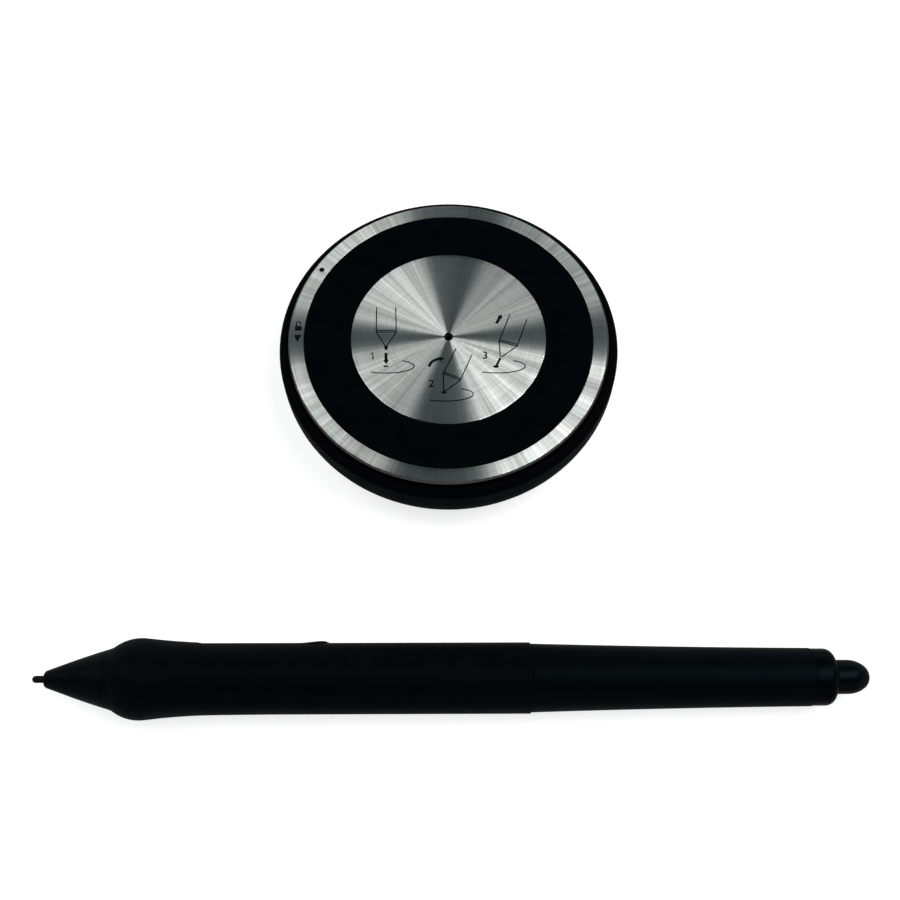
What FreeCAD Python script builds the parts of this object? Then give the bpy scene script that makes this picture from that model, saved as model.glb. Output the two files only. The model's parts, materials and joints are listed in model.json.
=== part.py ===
import FreeCAD, Part
import Sketcher, PartDesign
import math
import os
import re

# A digital pen lying beside its pen stand, which lies upside down. Millimetres and degrees.
# The origin is under the middle of the pair, +X runs from the pen's nib to its eraser,
# +Y points from the pen to the stand, and +Z is up.

# Sizes that stand by themselves. Each is one cell of the sheet.
SIZES = {
    # Where the two things lie
    "stand_across": -0.3,
    "stand_back": 20.43,
    "pen_front": 47.5,

    # Fits
    "running_gap": 0.05,
    "slide_gap": 0.12,
    "seat_gap": 0.1,
    "mouth_gap": 0.3,

    # Stand shell, from the table up
    "stand_radius": 34.65,
    "stand_height": 17.0,
    "rim_inset": 7.65,
    "rim_width": 2.5,
    "belly_band": 2.9,
    "shoulder_round": 1.5,
    "shoulder_drop": 0.1,
    "mouth_land": 0.25,
    "seat_width": 1.5,
    "shell_wall": 2.0,
    "dish_curve_radius": 90.0,
    "dish_wall": 1.8,
    "dish_floor_drop": 0.5,
    "dish_floor_gap": 0.1,
    "weight_rib": 1.6,
    "hub_wall": 1.3,
    "hub_clearance": 0.4,
    "hub_cap": 0.8,
    "boss_radius": 2.3,
    "boss_root": 1.35,
    "screw_inset": 4.5,
    "screw_first_angle": 18.0,
    "screw_spread_angle": 216.0,
    "screw_count": 3,
    "ledge_count": 3,
    "ledge_angle": 24.0,
    "ledge_reach": 1.3,
    "ledge_height": 0.9,
    "unlock_angle": 28.0,

    # Rubber funnel that the pen stands in
    "liner_radius": 6.25,
    "liner_lip": 7.4,
    "liner_lip_height": 0.6,
    "tip_clearance": 0.3,
    "socket_gap": 0.15,
    "socket_mouth_round": 0.9,
    "socket_mouth_step": 0.6,

    # Steel weight and the tray over it
    "weight_inner": 9.6,
    "weight_gap": 1.15,
    "weight_height": 2.7,
    "tray_inner": 8.2,
    "tray_gap": 0.5,
    "tray_clearance": 1.3,
    "tray_height": 3.0,
    "groove_width": 1.5,
    "groove_depth": 1.0,
    "groove_inner": 9.5,
    "groove_count": 10,
    "standard_nib_count": 5,
    "felt_nib_count": 3,
    "stroke_spring_radius": 0.5,
    "stroke_spring_length": 5.0,
    "finger_inset": 3.0,
    "finger_width": 6.0,
    "finger_depth": 1.6,
    "screw_shank": 0.95,
    "screw_head": 1.9,
    "screw_head_height": 1.1,
    "screw_length": 6.0,
    "screw_socket": 0.6,

    # Twist-off lid, which is the stand's foot when it stands upright
    "foot_proud": 0.3,
    "lid_rise": 2.9,
    "plate_thick": 0.8,
    "plate_hole": 0.9,
    "plate_edge": 0.1,
    "foot_width": 9.44,
    "foot_round": 0.3,
    "foot_plate_gap": 0.07,
    "foot_ring_gap": 0.04,
    "ring_land": 2.65,
    "ring_bevel_run": 0.55,
    "ring_bevel_drop": 0.55,
    "ring_skirt": 1.3,
    "ring_wall": 0.7,
    "cup_floor": 1.4,
    "skirt_inset": 2.7,
    "skirt_wall": 1.4,
    "skirt_depth": 3.6,
    "flange_height": 0.75,
    "lug_reach": 1.2,
    "lug_height": 1.0,
    "seal_gap": 0.08,
    "puller_radius": 3.0,
    "puller_flange": 4.0,
    "puller_flange_height": 0.7,
    "puller_height": 2.4,
    "puller_bore": 0.8,
    "puller_bore_depth": 1.9,

    # Pen, along its axis from the tip
    "nib_length": 18.0,
    "nib_radius": 0.675,
    "nib_reach": 2.3,
    "bush_length": 4.5,
    "cone_length": 7.3,
    "ring_length": 1.2,
    "grip_length": 77.55,
    "barrel_length": 52.4,
    "collar_length": 4.4,
    "eraser_reach": 6.8,

    # Pen, outside radii
    "bush_face": 1.05,
    "bush_round": 0.63,
    "bush_round_radius": 0.72,
    "bush_neck": 1.7,
    "bush_radius": 3.1,
    "cone_radius": 5.49,
    "cone_bulge": 150.0,
    "ring_radius": 5.9,
    "grip_lip": 6.0,
    "flare_radius": 7.58,
    "flare_place": 4.85,
    "flare_front_curve": 8.23,
    "flare_crown": 1.0,
    "flare_crown_radius": 7.52,
    "flare_rear_curve": 118.0,
    "waist_place": 19.15,
    "waist_radius": 6.66,
    "grip_straight_place": 29.25,
    "grip_radius": 6.58,
    "grip_end_round": 0.3,
    "barrel_front_radius": 6.34,
    "barrel_rear_radius": 5.4,
    "barrel_sweep": 2600.0,
    "barrel_edge": 0.12,
    "collar_radius": 5.3,
    "collar_round": 1.8,
    "eraser_radius": 3.18,
    "eraser_shoulder_length": 2.9,
    "eraser_shoulder_drop": 0.93,
    "eraser_shoulder_curve": 5.0,
    "eraser_nose_length": 1.2,
    "eraser_nose_curve": 2.71,

    # Pen, tubes and their joints
    "grip_bore_gap": 0.02,
    "tube_radius": 5.5,
    "tube_bore": 4.5,
    "thread_turns": 4.2,
    "tube_nose_radius": 3.9,
    "tube_nose_bore": 2.6,
    "tube_nose_step": 0.9,
    "tube_tail_length": 8.1,
    "tube_tail_radius": 4.95,
    "tube_tail_bore": 4.2,
    "barrel_bore": 4.25,
    "cone_wall": 0.85,
    "thread_pitch": 0.75,
    "collar_spigot": 5.3,
    "collar_spigot_gap": 0.08,
    "collar_bore": 3.3,

    # Pen, nib and its sensor
    "holder_radius": 1.3,
    "holder_grip": 2.7,
    "holder_tail": 1.5,
    "nib_fit": 0.025,
    "nib_travel": 0.4,
    "core_inset": 0.5,
    "core_gap": 0.3,
    "core_radius": 1.8,
    "core_bore": 0.85,
    "core_grip": 0.7,
    "coil_radius": 2.4,
    "coil_inset": 0.7,
    "coil_tail": 1.4,
    "coil_gap": 0.03,
    "pad_radius": 1.4,
    "pad_length": 0.75,
    "sensor_radius": 3.0,
    "sensor_length": 5.3,

    # Pen, carrier and board
    "carrier_nose_radius": 2.55,
    "carrier_radius": 4.3,
    "carrier_rear_radius": 4.0,
    "carrier_step_back": 0.9,
    "carrier_open_height": 0.4,
    "carrier_trough": 3.0,
    "bulkhead": 1.5,
    "board_gap": 0.5,
    "board_length": 62.0,
    "board_half_width": 3.95,
    "board_thick": 0.8,

    # Pen, side switch
    "switch_start": 30.0,
    "switch_length": 25.5,
    "switch_width": 6.4,
    "switch_gap": 0.25,
    "switch_floor": 4.4,
    "switch_radius": 6.6,
    "bump_start": 17.5,
    "bump_length": 7.6,
    "bump_height": 0.34,
    "pivot_place": 13.0,
    "pivot_height": 3.2,
    "pivot_radius": 0.5,
    "pivot_half_length": 4.0,
    "pivot_boss": 1.5,
    "pivot_boss_half": 2.7,
    "nub_lever": 8.0,
    "nub_radius": 0.8,
    "nub_bottom": 3.55,
    "press_gap": 0.35,
    "tact_size": 3.0,
    "tact_body_height": 1.2,
    "tact_button_radius": 0.7,

    # Pen, components behind the switch
    "chip_size": 5.0,
    "chip_height": 0.8,
    "chip_gap": 3.0,
    "trimmer_radius": 1.5,
    "trimmer_place": 21.0,
    "capacitor_place": 7.5,
    "capacitor_pitch": 3.0,
    "capacitor_length": 1.5,
    "capacitor_width": 0.8,
    "capacitor_height": 0.6,
    "capacitor_side": 2.25,

    # Pen, eraser and its sensor
    "eraser_flange": 3.7,
    "eraser_flange_length": 1.6,
    "eraser_travel": 0.8,
    "stem_radius": 1.5,
    "stem_head_radius": 3.0,
    "stem_head_length": 0.8,
    "stem_length": 10.3,
    "rear_sensor_length": 4.2,
    "rear_core_radius": 2.9,
    "rear_core_length": 7.0,
    "rear_coil_radius": 3.6,
    "rear_coil_length": 5.4,
    "rear_coil_inset": 1.0,
    "rear_wall": 1.6,
    "rear_cup_length": 8.0,
    "rear_cup_bore": 3.65,
}

# Places and sizes that follow from the ones above.
PLACES = {
    # Stand, from its foot down and from its side inwards
    "lid_plane": "stand_height - foot_proud",
    "lid_seat": "lid_plane - lid_rise",
    "belly_high": "lid_seat - shoulder_drop",
    "belly_low": "belly_high - belly_band",
    "rim_outer": "stand_radius - rim_inset",
    "rim_inner": "rim_outer - rim_width",
    "mouth_radius": "stand_radius - shoulder_round - mouth_land",
    "bore_radius": "mouth_radius - seat_width",
    "belly_curve": "(rim_inset^2 + belly_low^2) / (2 * rim_inset)",
    "belly_centre": "stand_radius - belly_curve",
    "inner_curve": "belly_curve - shell_wall",
    "bore_foot": "belly_low - sqrt(inner_curve^2 - (bore_radius - belly_centre)^2)",
    "floor_edge": "belly_centre + sqrt(inner_curve^2 - (belly_low - weight_seat)^2)",
    "shoulder_top": "belly_high + shoulder_round",
    "weight_outer": "floor_edge - weight_gap",
    "dish_depth": "weight_seat - dish_wall - dish_floor_gap",
    "hub_top": "puller_low - hub_clearance",
    "hub_bore": "liner_radius + running_gap",
    "hub_radius": "hub_bore + hub_wall",
    "socket_depth": "hub_top - hub_cap - dish_depth - tip_clearance",
    "cone_slope": "(cone_radius - bush_radius) / cone_length",
    "socket_neck": "bush_radius + socket_gap + cone_slope * (socket_depth - cone_start)",
    "lip_seat": "dish_depth + liner_lip_height",
    "lip_bore": "liner_lip + running_gap",
    "tray_outer": "bore_radius - tray_gap",
    "tray_top": "skirt_low - tray_clearance",
    "tray_low": "tray_top - tray_height",
    "weight_seat": "tray_low - weight_height",
    "groove_floor": "tray_top - groove_depth",
    "groove_outer": "groove_inner + nib_length + 2 * seat_gap",
    "spare_nib_height": "groove_floor + nib_radius + grip_bore_gap",
    "screw_seat": "tray_top - screw_head_height - seat_gap",
    "screw_tip": "screw_seat + seat_gap - screw_length",
    "screw_circle": "weight_outer - screw_inset",
    "finger_outer": "screw_circle - finger_inset",
    "finger_inner": "finger_outer - finger_width",
    "screw_x": "screw_circle * cos(screw_first_angle)",
    "screw_y": "screw_circle * sin(screw_first_angle)",

    # Lid
    "ring_outer": "mouth_radius - mouth_gap",
    "ring_flat_outer": "ring_outer - ring_bevel_run",
    "ring_inner": "ring_flat_outer - ring_land",
    "foot_outer": "ring_inner - foot_ring_gap",
    "foot_inner": "foot_outer - foot_width",
    "plate_radius": "foot_inner - foot_plate_gap",
    "skirt_outer": "ring_outer - skirt_inset",
    "plate_low": "lid_plane - plate_thick",
    "cup_low": "plate_low - cup_floor",
    "skirt_low": "cup_low - skirt_depth",
    "skirt_inner": "skirt_outer - skirt_wall",
    "flange_top": "lid_seat + flange_height",
    "ring_low": "plate_low - ring_skirt",
    "ledge_low": "skirt_low + lug_height + seat_gap",
    "seal_low": "ledge_low + ledge_height + seal_gap",
    "seal_top": "lid_seat - seal_gap",
    "puller_low": "plate_low - puller_height",

    # Pen stations
    "cone_start": "nib_reach + bush_length",
    "ring_start": "cone_start + cone_length",
    "tube_start": "ring_start + ring_length",
    "grip_start": "tube_start + running_gap",
    "grip_end": "grip_start + grip_length",
    "collar_start": "grip_end + barrel_length",
    "collar_end": "collar_start + collar_length",
    "pen_length": "collar_end + eraser_reach",
    "flare_at": "grip_start + flare_place",
    "tail_end": "grip_end + tube_tail_length",
    "nose_start": "tube_start - ring_length - thread_turns * thread_pitch",
    "nose_step_end": "tube_start + tube_nose_step",

    # Pen lies on its flare and on the rear end of its grip
    "tilt": "atan((flare_radius - grip_radius) / (grip_end - grip_end_round - flare_at))",

    # Nib's sensor
    "holder_start": "nib_length - holder_grip",
    "holder_end": "nib_length + holder_tail",
    "pad_start": "holder_end + nib_travel + running_gap",
    "sensor_start": "pad_start + pad_length",
    "sensor_end": "sensor_start + sensor_length",
    "core_start": "cone_start + core_inset",
    "core_end": "holder_start - core_gap",
    "coil_start": "core_start + coil_inset",
    "coil_end": "core_end - coil_tail",
    "carrier_nose_start": "core_end - core_grip",
    "board_start": "sensor_end + bulkhead + board_gap",

    # Eraser's sensor
    "flange_end": "collar_start - collar_spigot - seat_gap * 2",
    "flange_start": "flange_end - eraser_flange_length",
    "stem_start": "flange_start - stem_length",
    "rear_pad_end": "stem_start - eraser_travel - seat_gap",
    "rear_sensor_end": "rear_pad_end - pad_length",
    "rear_sensor_start": "rear_sensor_end - rear_sensor_length",
    "rear_core_start": "rear_pad_end + seat_gap + rear_wall + seat_gap * 2",
    "rear_cup_end": "rear_core_start + rear_cup_length",

    # Switch
    "switch_end": "switch_start + switch_length",
    "pivot_at": "switch_start + pivot_place",
    "slot_width": "switch_width + 2 * switch_gap",
    "bump_curve": "(bump_length^2 / 4 + bump_height^2) / (2 * bump_height)",
    "board_top": "carrier_open_height + board_thick",
    "tact_top": "nub_bottom - press_gap",
}

FUNCTIONS = ("sqrt", "sin", "cos", "tan", "atan")

doc = FreeCAD.newDocument("PenAndStand")
sheet = doc.addObject("Spreadsheet::Sheet", "Sizes")
for row, (word, number) in enumerate(SIZES.items(), start=1):
    sheet.set("A%d" % row, word)
    sheet.set("B%d" % row, str(number))
    sheet.setAlias("B%d" % row, word)
doc.recompute()

parts = {}


def bound(text):
    """An expression with each size named as the sheet's cell and each place written out."""
    def word_for(match):
        word = match.group(0)
        if word in FUNCTIONS:
            return word
        if word in PLACES:
            return "(" + bound(PLACES[word]) + ")"
        return "Sizes." + word
    return re.sub(r"[a-z_]+[a-z0-9_]*", word_for, text)


def number_of(text):
    """The present value of an expression."""
    value = ruler.evalExpression(bound(text))
    return float(getattr(value, "Value", value))


def bind(thing, prop, text):
    """Tie one property of a thing to the sheet."""
    thing.setExpression(prop, bound(text))


# An empty object whose only use is to read expressions.
ruler = doc.addObject("App::FeaturePython", "Ruler")


def new_body(name):
    """A sub-part, made as one body, which may hold separate solids."""
    body = doc.addObject("PartDesign::Body", name)
    body.Label = name
    body.AllowCompound = True
    parts[name] = body
    return body


def origin_feature(body, role):
    return [f for f in body.Origin.OriginFeatures if f.Role == role][0]


def new_sketch(body, name, plane, lift="0"):
    """An empty sketch on one of the body's own planes, moved along the plane's normal."""
    sketch = body.newObject("Sketcher::SketchObject", name)
    sketch.AttachmentSupport = [(origin_feature(body, plane), "")]
    sketch.MapMode = "FlatFace"
    if lift != "0":
        bind(sketch, "AttachmentOffset.Base.z", lift)
    return sketch


def pin_point(sketch, curve, end, across, up):
    """Hold one end of a curve at a place given by two expressions."""
    for kind, text in (("DistanceX", across), ("DistanceY", up)):
        index = sketch.addConstraint(
            Sketcher.Constraint(kind, -1, 1, curve, end, number_of(text)))
        if bound(text) != text:
            sketch.setExpression("Constraints[%d]" % index, bound(text))


def draw_outline(sketch, corners):
    """A closed outline. A corner is (across, up), or (across, up, radius) where the side
    that leaves it is an arc, which turns left, or right if the radius starts with a minus."""
    places = [FreeCAD.Vector(number_of(c[0]), number_of(c[1]), 0) for c in corners]
    start_ends = []
    for index, corner in enumerate(corners):
        here, there = places[index], places[(index + 1) % len(places)]
        if len(corner) == 2:
            sketch.addGeometry(Part.LineSegment(here, there))
            start_ends.append((1, 2))
            continue
        turns_left = not corner[2].startswith("-")
        radius = number_of(corner[2].lstrip("-"))
        chord = there - here
        left = FreeCAD.Vector(-chord.y, chord.x, 0).normalize()
        rise = math.sqrt(radius ** 2 - (chord.Length / 2) ** 2)
        centre = (here + there) / 2 + left * (rise if turns_left else -rise)
        first, last = (here, there) if turns_left else (there, here)
        angles = [math.atan2(p.y - centre.y, p.x - centre.x) for p in (first, last)]
        circle = Part.Circle(centre, FreeCAD.Vector(0, 0, 1), radius)
        sketch.addGeometry(Part.ArcOfCircle(circle, angles[0], angles[1]))
        start_ends.append((1, 2) if turns_left else (2, 1))
    for index, corner in enumerate(corners):
        before = index - 1 if index else len(corners) - 1
        sketch.addConstraint(Sketcher.Constraint(
            "Coincident", before, start_ends[before][1], index, start_ends[index][0]))
        pin_point(sketch, index, start_ends[index][0], corner[0], corner[1])
        if len(corner) == 3:
            text = corner[2].lstrip("-")
            held = sketch.addConstraint(Sketcher.Constraint("Radius", index, number_of(text)))
            sketch.setExpression("Constraints[%d]" % held, bound(text))


def draw_circle(sketch, across, up, radius):
    centre = FreeCAD.Vector(number_of(across), number_of(up), 0)
    circle = Part.Circle(centre, FreeCAD.Vector(0, 0, 1), number_of(radius))
    index = sketch.addGeometry(circle)
    pin_point(sketch, index, 3, across, up)
    held = sketch.addConstraint(Sketcher.Constraint("Radius", index, number_of(radius)))
    sketch.setExpression("Constraints[%d]" % held, bound(radius))


def stadium(start, end, width):
    """Corners of a slot with round ends, along the sketch's first axis."""
    half = "(%s) / 2" % width
    first = "%s + %s" % (start, half)
    last = "%s - %s" % (end, half)
    return [
        (first, "-" + half), (last, "-" + half, half),
        (end, "0", half), (last, half),
        (first, half, half), (start, "0", half),
    ]


def revolve(body, name, sketch, axis, kind="PartDesign::Revolution", angle="360"):
    """Turn a sketch about its own H_Axis or V_Axis, evenly to both sides."""
    turn = body.newObject(kind, name)
    turn.Profile = sketch
    turn.ReferenceAxis = (sketch, [axis])
    turn.Midplane = True
    if bound(angle) == angle:
        turn.Angle = float(angle)
    else:
        bind(turn, "Angle", angle)
    return turn


def turned(name, corners, upright=True):
    """A round sub-part: about Z from (radius, height) corners for the stand, or
    about X from (station, radius) corners for the pen."""
    body = new_body(name)
    plane, axis = ("XZ_Plane", "V_Axis") if upright else ("XY_Plane", "H_Axis")
    sketch = new_sketch(body, name + "_outline", plane)
    draw_outline(sketch, corners)
    revolve(body, name + "_turn", sketch, axis)
    return body


def pad(body, name, sketch, length, reversed_way=False, both_ways=False):
    feature = body.newObject("PartDesign::Pad", name)
    feature.Profile = sketch
    feature.Reversed = reversed_way
    feature.Midplane = both_ways
    bind(feature, "Length", length)
    return feature


def pocket(body, name, sketch, length, reversed_way=False, both_ways=False):
    feature = body.newObject("PartDesign::Pocket", name)
    feature.Profile = sketch
    feature.Reversed = reversed_way
    feature.Midplane = both_ways
    bind(feature, "Length", length)
    return feature


def round_pattern(body, name, features, count, spread="360"):
    """Copies of features about the body's own Z axis."""
    pattern = body.newObject("PartDesign::PolarPattern", name)
    pattern.Originals = features
    pattern.Axis = (origin_feature(body, "Z_Axis"), [""])
    if bound(spread) == spread:
        pattern.Angle = float(spread)
    else:
        bind(pattern, "Angle", spread)
    bind(pattern, "Occurrences", count)
    body.Tip = pattern
    return pattern


def stand_on_table(body, turn="0"):
    """Put a sub-part of the stand in its place, turned about the stand's axis."""
    body.Placement = FreeCAD.Placement(
        FreeCAD.Vector(), FreeCAD.Rotation(FreeCAD.Vector(0, 0, 1), number_of(turn)))
    bind(body, "Placement.Base.x", "stand_across")
    bind(body, "Placement.Base.y", "stand_back")
    if bound(turn) != turn:
        bind(body, "Placement.Rotation.Angle", turn)


def lay_on_table(thing):
    """Put a sub-part of the pen in its place, with its nib end slightly raised."""
    thing.Placement = FreeCAD.Placement(
        FreeCAD.Vector(), FreeCAD.Rotation(FreeCAD.Vector(0, 1, 0), 1))
    bind(thing, "Placement.Base.x", "-pen_length / 2 * cos(tilt)")
    bind(thing, "Placement.Base.y", "-pen_front")
    bind(thing, "Placement.Base.z", "flare_radius * cos(tilt) + flare_at * sin(tilt)")
    bind(thing, "Placement.Rotation.Angle", "tilt")


# Stand shell: a moulded bowl. Its rim is on the table, its dish faces down, and its mouth,
# which the lid closes, faces up.
shell = turned("stand_shell", [
    ("rim_inner", "0"),
    ("rim_outer", "0", "belly_curve"),
    ("stand_radius", "belly_low"),
    ("stand_radius", "belly_high", "shoulder_round"),
    ("stand_radius - shoulder_round", "shoulder_top"),
    ("mouth_radius", "shoulder_top"),
    ("mouth_radius", "lid_seat"),
    ("bore_radius", "lid_seat"),
    ("bore_radius", "bore_foot", "-inner_curve"),
    ("floor_edge", "weight_seat"),
    ("weight_outer - weight_rib", "weight_seat"),
    ("weight_outer - weight_rib", "dish_wall"),
    ("weight_inner + 2 * weight_rib", "dish_depth + dish_wall - dish_floor_drop"),
    ("weight_inner + 2 * weight_rib", "weight_seat"),
    ("hub_radius", "weight_seat"),
    ("hub_radius", "hub_top"),
    ("0", "hub_top"),
    ("0", "hub_top - hub_cap"),
    ("hub_bore", "hub_top - hub_cap"),
    ("hub_bore", "lip_seat"),
    ("lip_bore", "lip_seat"),
    ("lip_bore", "dish_depth", "dish_curve_radius"),
])
ledge_outline = new_sketch(shell, "ledge_outline", "XZ_Plane")
draw_outline(ledge_outline, [
    ("bore_radius - ledge_reach", "ledge_low"),
    ("bore_radius + shell_wall / 2", "ledge_low"),
    ("bore_radius + shell_wall / 2", "ledge_low + ledge_height"),
    ("bore_radius - ledge_reach", "ledge_low + ledge_height"),
])
ledge = revolve(shell, "ledge", ledge_outline, "V_Axis", angle="ledge_angle")
round_pattern(shell, "ledges", [ledge], "ledge_count")
boss_outline = new_sketch(shell, "boss_outline", "XY_Plane", "tray_low")
draw_circle(boss_outline, "screw_x", "screw_y", "boss_radius")
boss = pad(shell, "boss", boss_outline, "tray_low - boss_root", reversed_way=True)
round_pattern(shell, "bosses", [boss], "screw_count", "screw_spread_angle")
pilot_outline = new_sketch(shell, "pilot_outline", "XY_Plane", "tray_low")
draw_circle(pilot_outline, "screw_x", "screw_y", "screw_shank + grip_bore_gap")
pilot = pocket(shell, "pilot", pilot_outline, "tray_low - screw_tip + seat_gap")
round_pattern(shell, "pilots", [pilot], "screw_count", "screw_spread_angle")
stand_on_table(shell)

# Rubber funnel in the shell's hub. Its cone follows the pen's own cone.
liner = turned("socket_liner", [
    ("liner_lip", "dish_depth"),
    ("liner_lip", "lip_seat - running_gap"),
    ("liner_radius", "lip_seat - running_gap"),
    ("liner_radius", "hub_top - hub_cap"),
    ("bush_face + socket_gap", "hub_top - hub_cap"),
    ("bush_face + socket_gap", "dish_depth + socket_depth - nib_reach"),
    ("bush_neck + socket_gap", "dish_depth + socket_depth - nib_reach - bush_round"),
    ("bush_radius + socket_gap", "dish_depth + socket_depth - cone_start"),
    ("socket_neck", "dish_depth + socket_mouth_step", "socket_mouth_round"),
    ("socket_neck + socket_mouth_step", "dish_depth"),
])
stand_on_table(liner)

# Steel weight that keeps the stand down.
weight = turned("ballast_ring", [
    ("weight_inner", "weight_seat"),
    ("weight_outer", "weight_seat"),
    ("weight_outer", "tray_low"),
    ("weight_inner", "tray_low"),
])
weight_hole_outline = new_sketch(weight, "weight_hole_outline", "XY_Plane", "weight_seat")
draw_circle(weight_hole_outline, "screw_x", "screw_y", "boss_radius + mouth_gap")
weight_hole = pocket(
    weight, "weight_hole", weight_hole_outline, "weight_height", reversed_way=True)
round_pattern(weight, "weight_holes", [weight_hole], "screw_count", "screw_spread_angle")
stand_on_table(weight)

# Tray for the spare nibs: radial grooves, and a trough to pinch a nib in.
tray = turned("nib_tray", [
    ("tray_inner", "tray_low"),
    ("tray_outer", "tray_low"),
    ("tray_outer", "tray_top"),
    ("finger_outer", "tray_top"),
    ("finger_outer", "tray_top - finger_depth"),
    ("finger_inner", "tray_top - finger_depth"),
    ("finger_inner", "tray_top"),
    ("tray_inner", "tray_top"),
])
groove_outline = new_sketch(tray, "groove_outline", "XY_Plane", "tray_top")
draw_outline(groove_outline, [
    ("groove_inner - seat_gap", "-groove_width / 2"),
    ("groove_outer", "-groove_width / 2"),
    ("groove_outer", "groove_width / 2"),
    ("groove_inner - seat_gap", "groove_width / 2"),
])
groove = pocket(tray, "groove", groove_outline, "groove_depth")
round_pattern(tray, "grooves", [groove], "groove_count")
seat_outline = new_sketch(tray, "seat_outline", "XY_Plane", "tray_top")
draw_circle(seat_outline, "screw_x", "screw_y", "screw_head + seat_gap * 2")
screw_recess = pocket(tray, "screw_recess", seat_outline, "tray_top - screw_seat")
round_pattern(tray, "screw_recesses", [screw_recess], "screw_count", "screw_spread_angle")
hole_outline = new_sketch(tray, "hole_outline", "XY_Plane", "tray_top")
draw_circle(hole_outline, "screw_x", "screw_y", "screw_shank + seat_gap")
screw_hole = pocket(tray, "screw_hole", hole_outline, "tray_height")
round_pattern(tray, "screw_holes", [screw_hole], "screw_count", "screw_spread_angle")
stand_on_table(tray)

# Screws through the tray into the shell's bosses.
screws = new_body("tray_screws")
screw_outline = new_sketch(screws, "screw_outline", "XZ_Plane")
bind(screw_outline, "AttachmentOffset.Base.x", "screw_circle")
draw_outline(screw_outline, [
    ("0", "screw_tip"),
    ("screw_shank", "screw_tip"),
    ("screw_shank", "screw_seat"),
    ("screw_head", "screw_seat"),
    ("screw_head", "screw_seat + screw_head_height * 3 / 4"),
    ("screw_head * 3 / 4", "screw_seat + screw_head_height"),
    ("0", "screw_seat + screw_head_height"),
])
screw = revolve(screws, "screw", screw_outline, "V_Axis")
drive_outline = new_sketch(screws, "drive_outline", "XY_Plane", "screw_seat + screw_head_height")
draw_circle(drive_outline, "screw_circle", "0", "screw_socket")
drive = pocket(screws, "drive", drive_outline, "screw_head_height / 2")
round_pattern(screws, "screw_set", [screw, drive], "screw_count", "screw_spread_angle")
stand_on_table(screws, "screw_first_angle")


def lay_spare_nibs(name, first_groove, count, sprung=False):
    """Spare nibs, each in its own groove of the tray with its tip outwards. A sprung one has
    a slimmer middle, which is its spring."""
    body = new_body(name)
    sketch = new_sketch(body, name + "_outline", "XY_Plane", "spare_nib_height")
    corners = [
        ("groove_inner", "0"),
        ("groove_inner + nib_length", "0", "nib_radius"),
        ("groove_inner + nib_length - nib_radius", "nib_radius"),
    ]
    if sprung:
        middle = "groove_inner + nib_length / 2"
        for radius, way in (("nib_radius", "+"), ("stroke_spring_radius", "+"),
                            ("stroke_spring_radius", "-"), ("nib_radius", "-")):
            corners.append(("%s %s stroke_spring_length / 2" % (middle, way), radius))
    corners.append(("groove_inner", "nib_radius"))
    draw_outline(sketch, corners)
    spare = revolve(body, name + "_turn", sketch, "H_Axis")
    if count != "1":
        round_pattern(body, name + "_set", [spare], count,
                      "360 / groove_count * (%s - 1)" % count)
    stand_on_table(body, "360 / groove_count * (%s)" % first_groove)


felt_end = "standard_nib_count + felt_nib_count"
lay_spare_nibs("spare_standard_nibs", "0", "standard_nib_count")
lay_spare_nibs("spare_felt_nibs", "standard_nib_count", "felt_nib_count")
lay_spare_nibs("spare_flex_nib", felt_end, "1")
lay_spare_nibs("spare_stroke_nib", felt_end + " + 1", "1", sprung=True)

# Seal between the shell's bore and the lid's skirt. It goes up with the lid.
seal = turned("lid_seal", [
    ("skirt_outer + running_gap", "seal_low"),
    ("bore_radius - seat_gap", "seal_low"),
    ("bore_radius - seat_gap", "seal_top"),
    ("skirt_outer + running_gap", "seal_top"),
])
stand_on_table(seal)

# Lid cup: moulded base with a skirt, three lugs for the shell's ledges and a seat for metal.
cup = turned("lid_cup", [
    ("puller_radius + running_gap", "cup_low"),
    ("skirt_inner", "cup_low"),
    ("skirt_inner", "skirt_low"),
    ("skirt_outer", "skirt_low"),
    ("skirt_outer", "lid_seat"),
    ("ring_outer", "lid_seat"),
    ("ring_outer", "flange_top"),
    ("ring_outer - ring_wall - running_gap", "flange_top"),
    ("ring_outer - ring_wall - running_gap", "plate_low"),
    ("puller_flange + running_gap", "plate_low"),
    ("puller_flange + running_gap", "plate_low - puller_flange_height"),
    ("puller_radius + running_gap", "plate_low - puller_flange_height"),
])
lug_outline = new_sketch(cup, "lug_outline", "XZ_Plane")
draw_outline(lug_outline, [
    ("skirt_outer - skirt_wall / 2", "skirt_low"),
    ("skirt_outer + lug_reach", "skirt_low"),
    ("skirt_outer + lug_reach", "skirt_low + lug_height"),
    ("skirt_outer - skirt_wall / 2", "skirt_low + lug_height"),
])
lug = revolve(cup, "lug", lug_outline, "V_Axis", angle="ledge_angle")
round_pattern(cup, "lugs", [lug], "ledge_count")
stand_on_table(cup, "unlock_angle")

# Metal trim ring, pressed over the cup's edge.
trim = turned("trim_ring", [
    ("ring_inner", "plate_low"),
    ("ring_inner", "lid_plane"),
    ("ring_flat_outer", "lid_plane"),
    ("ring_outer", "lid_plane - ring_bevel_drop"),
    ("ring_outer", "ring_low"),
    ("ring_outer - ring_wall", "ring_low"),
    ("ring_outer - ring_wall", "plate_low"),
])
stand_on_table(trim)

# Rubber foot, glued between the trim ring and the centre plate.
foot = turned("rubber_foot", [
    ("foot_inner", "plate_low"),
    ("foot_outer", "plate_low"),
    ("foot_outer", "stand_height - foot_round", "foot_round"),
    ("foot_outer - foot_round", "stand_height"),
    ("foot_inner + foot_round", "stand_height", "foot_round"),
    ("foot_inner", "stand_height - foot_round"),
])
stand_on_table(foot)

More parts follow.
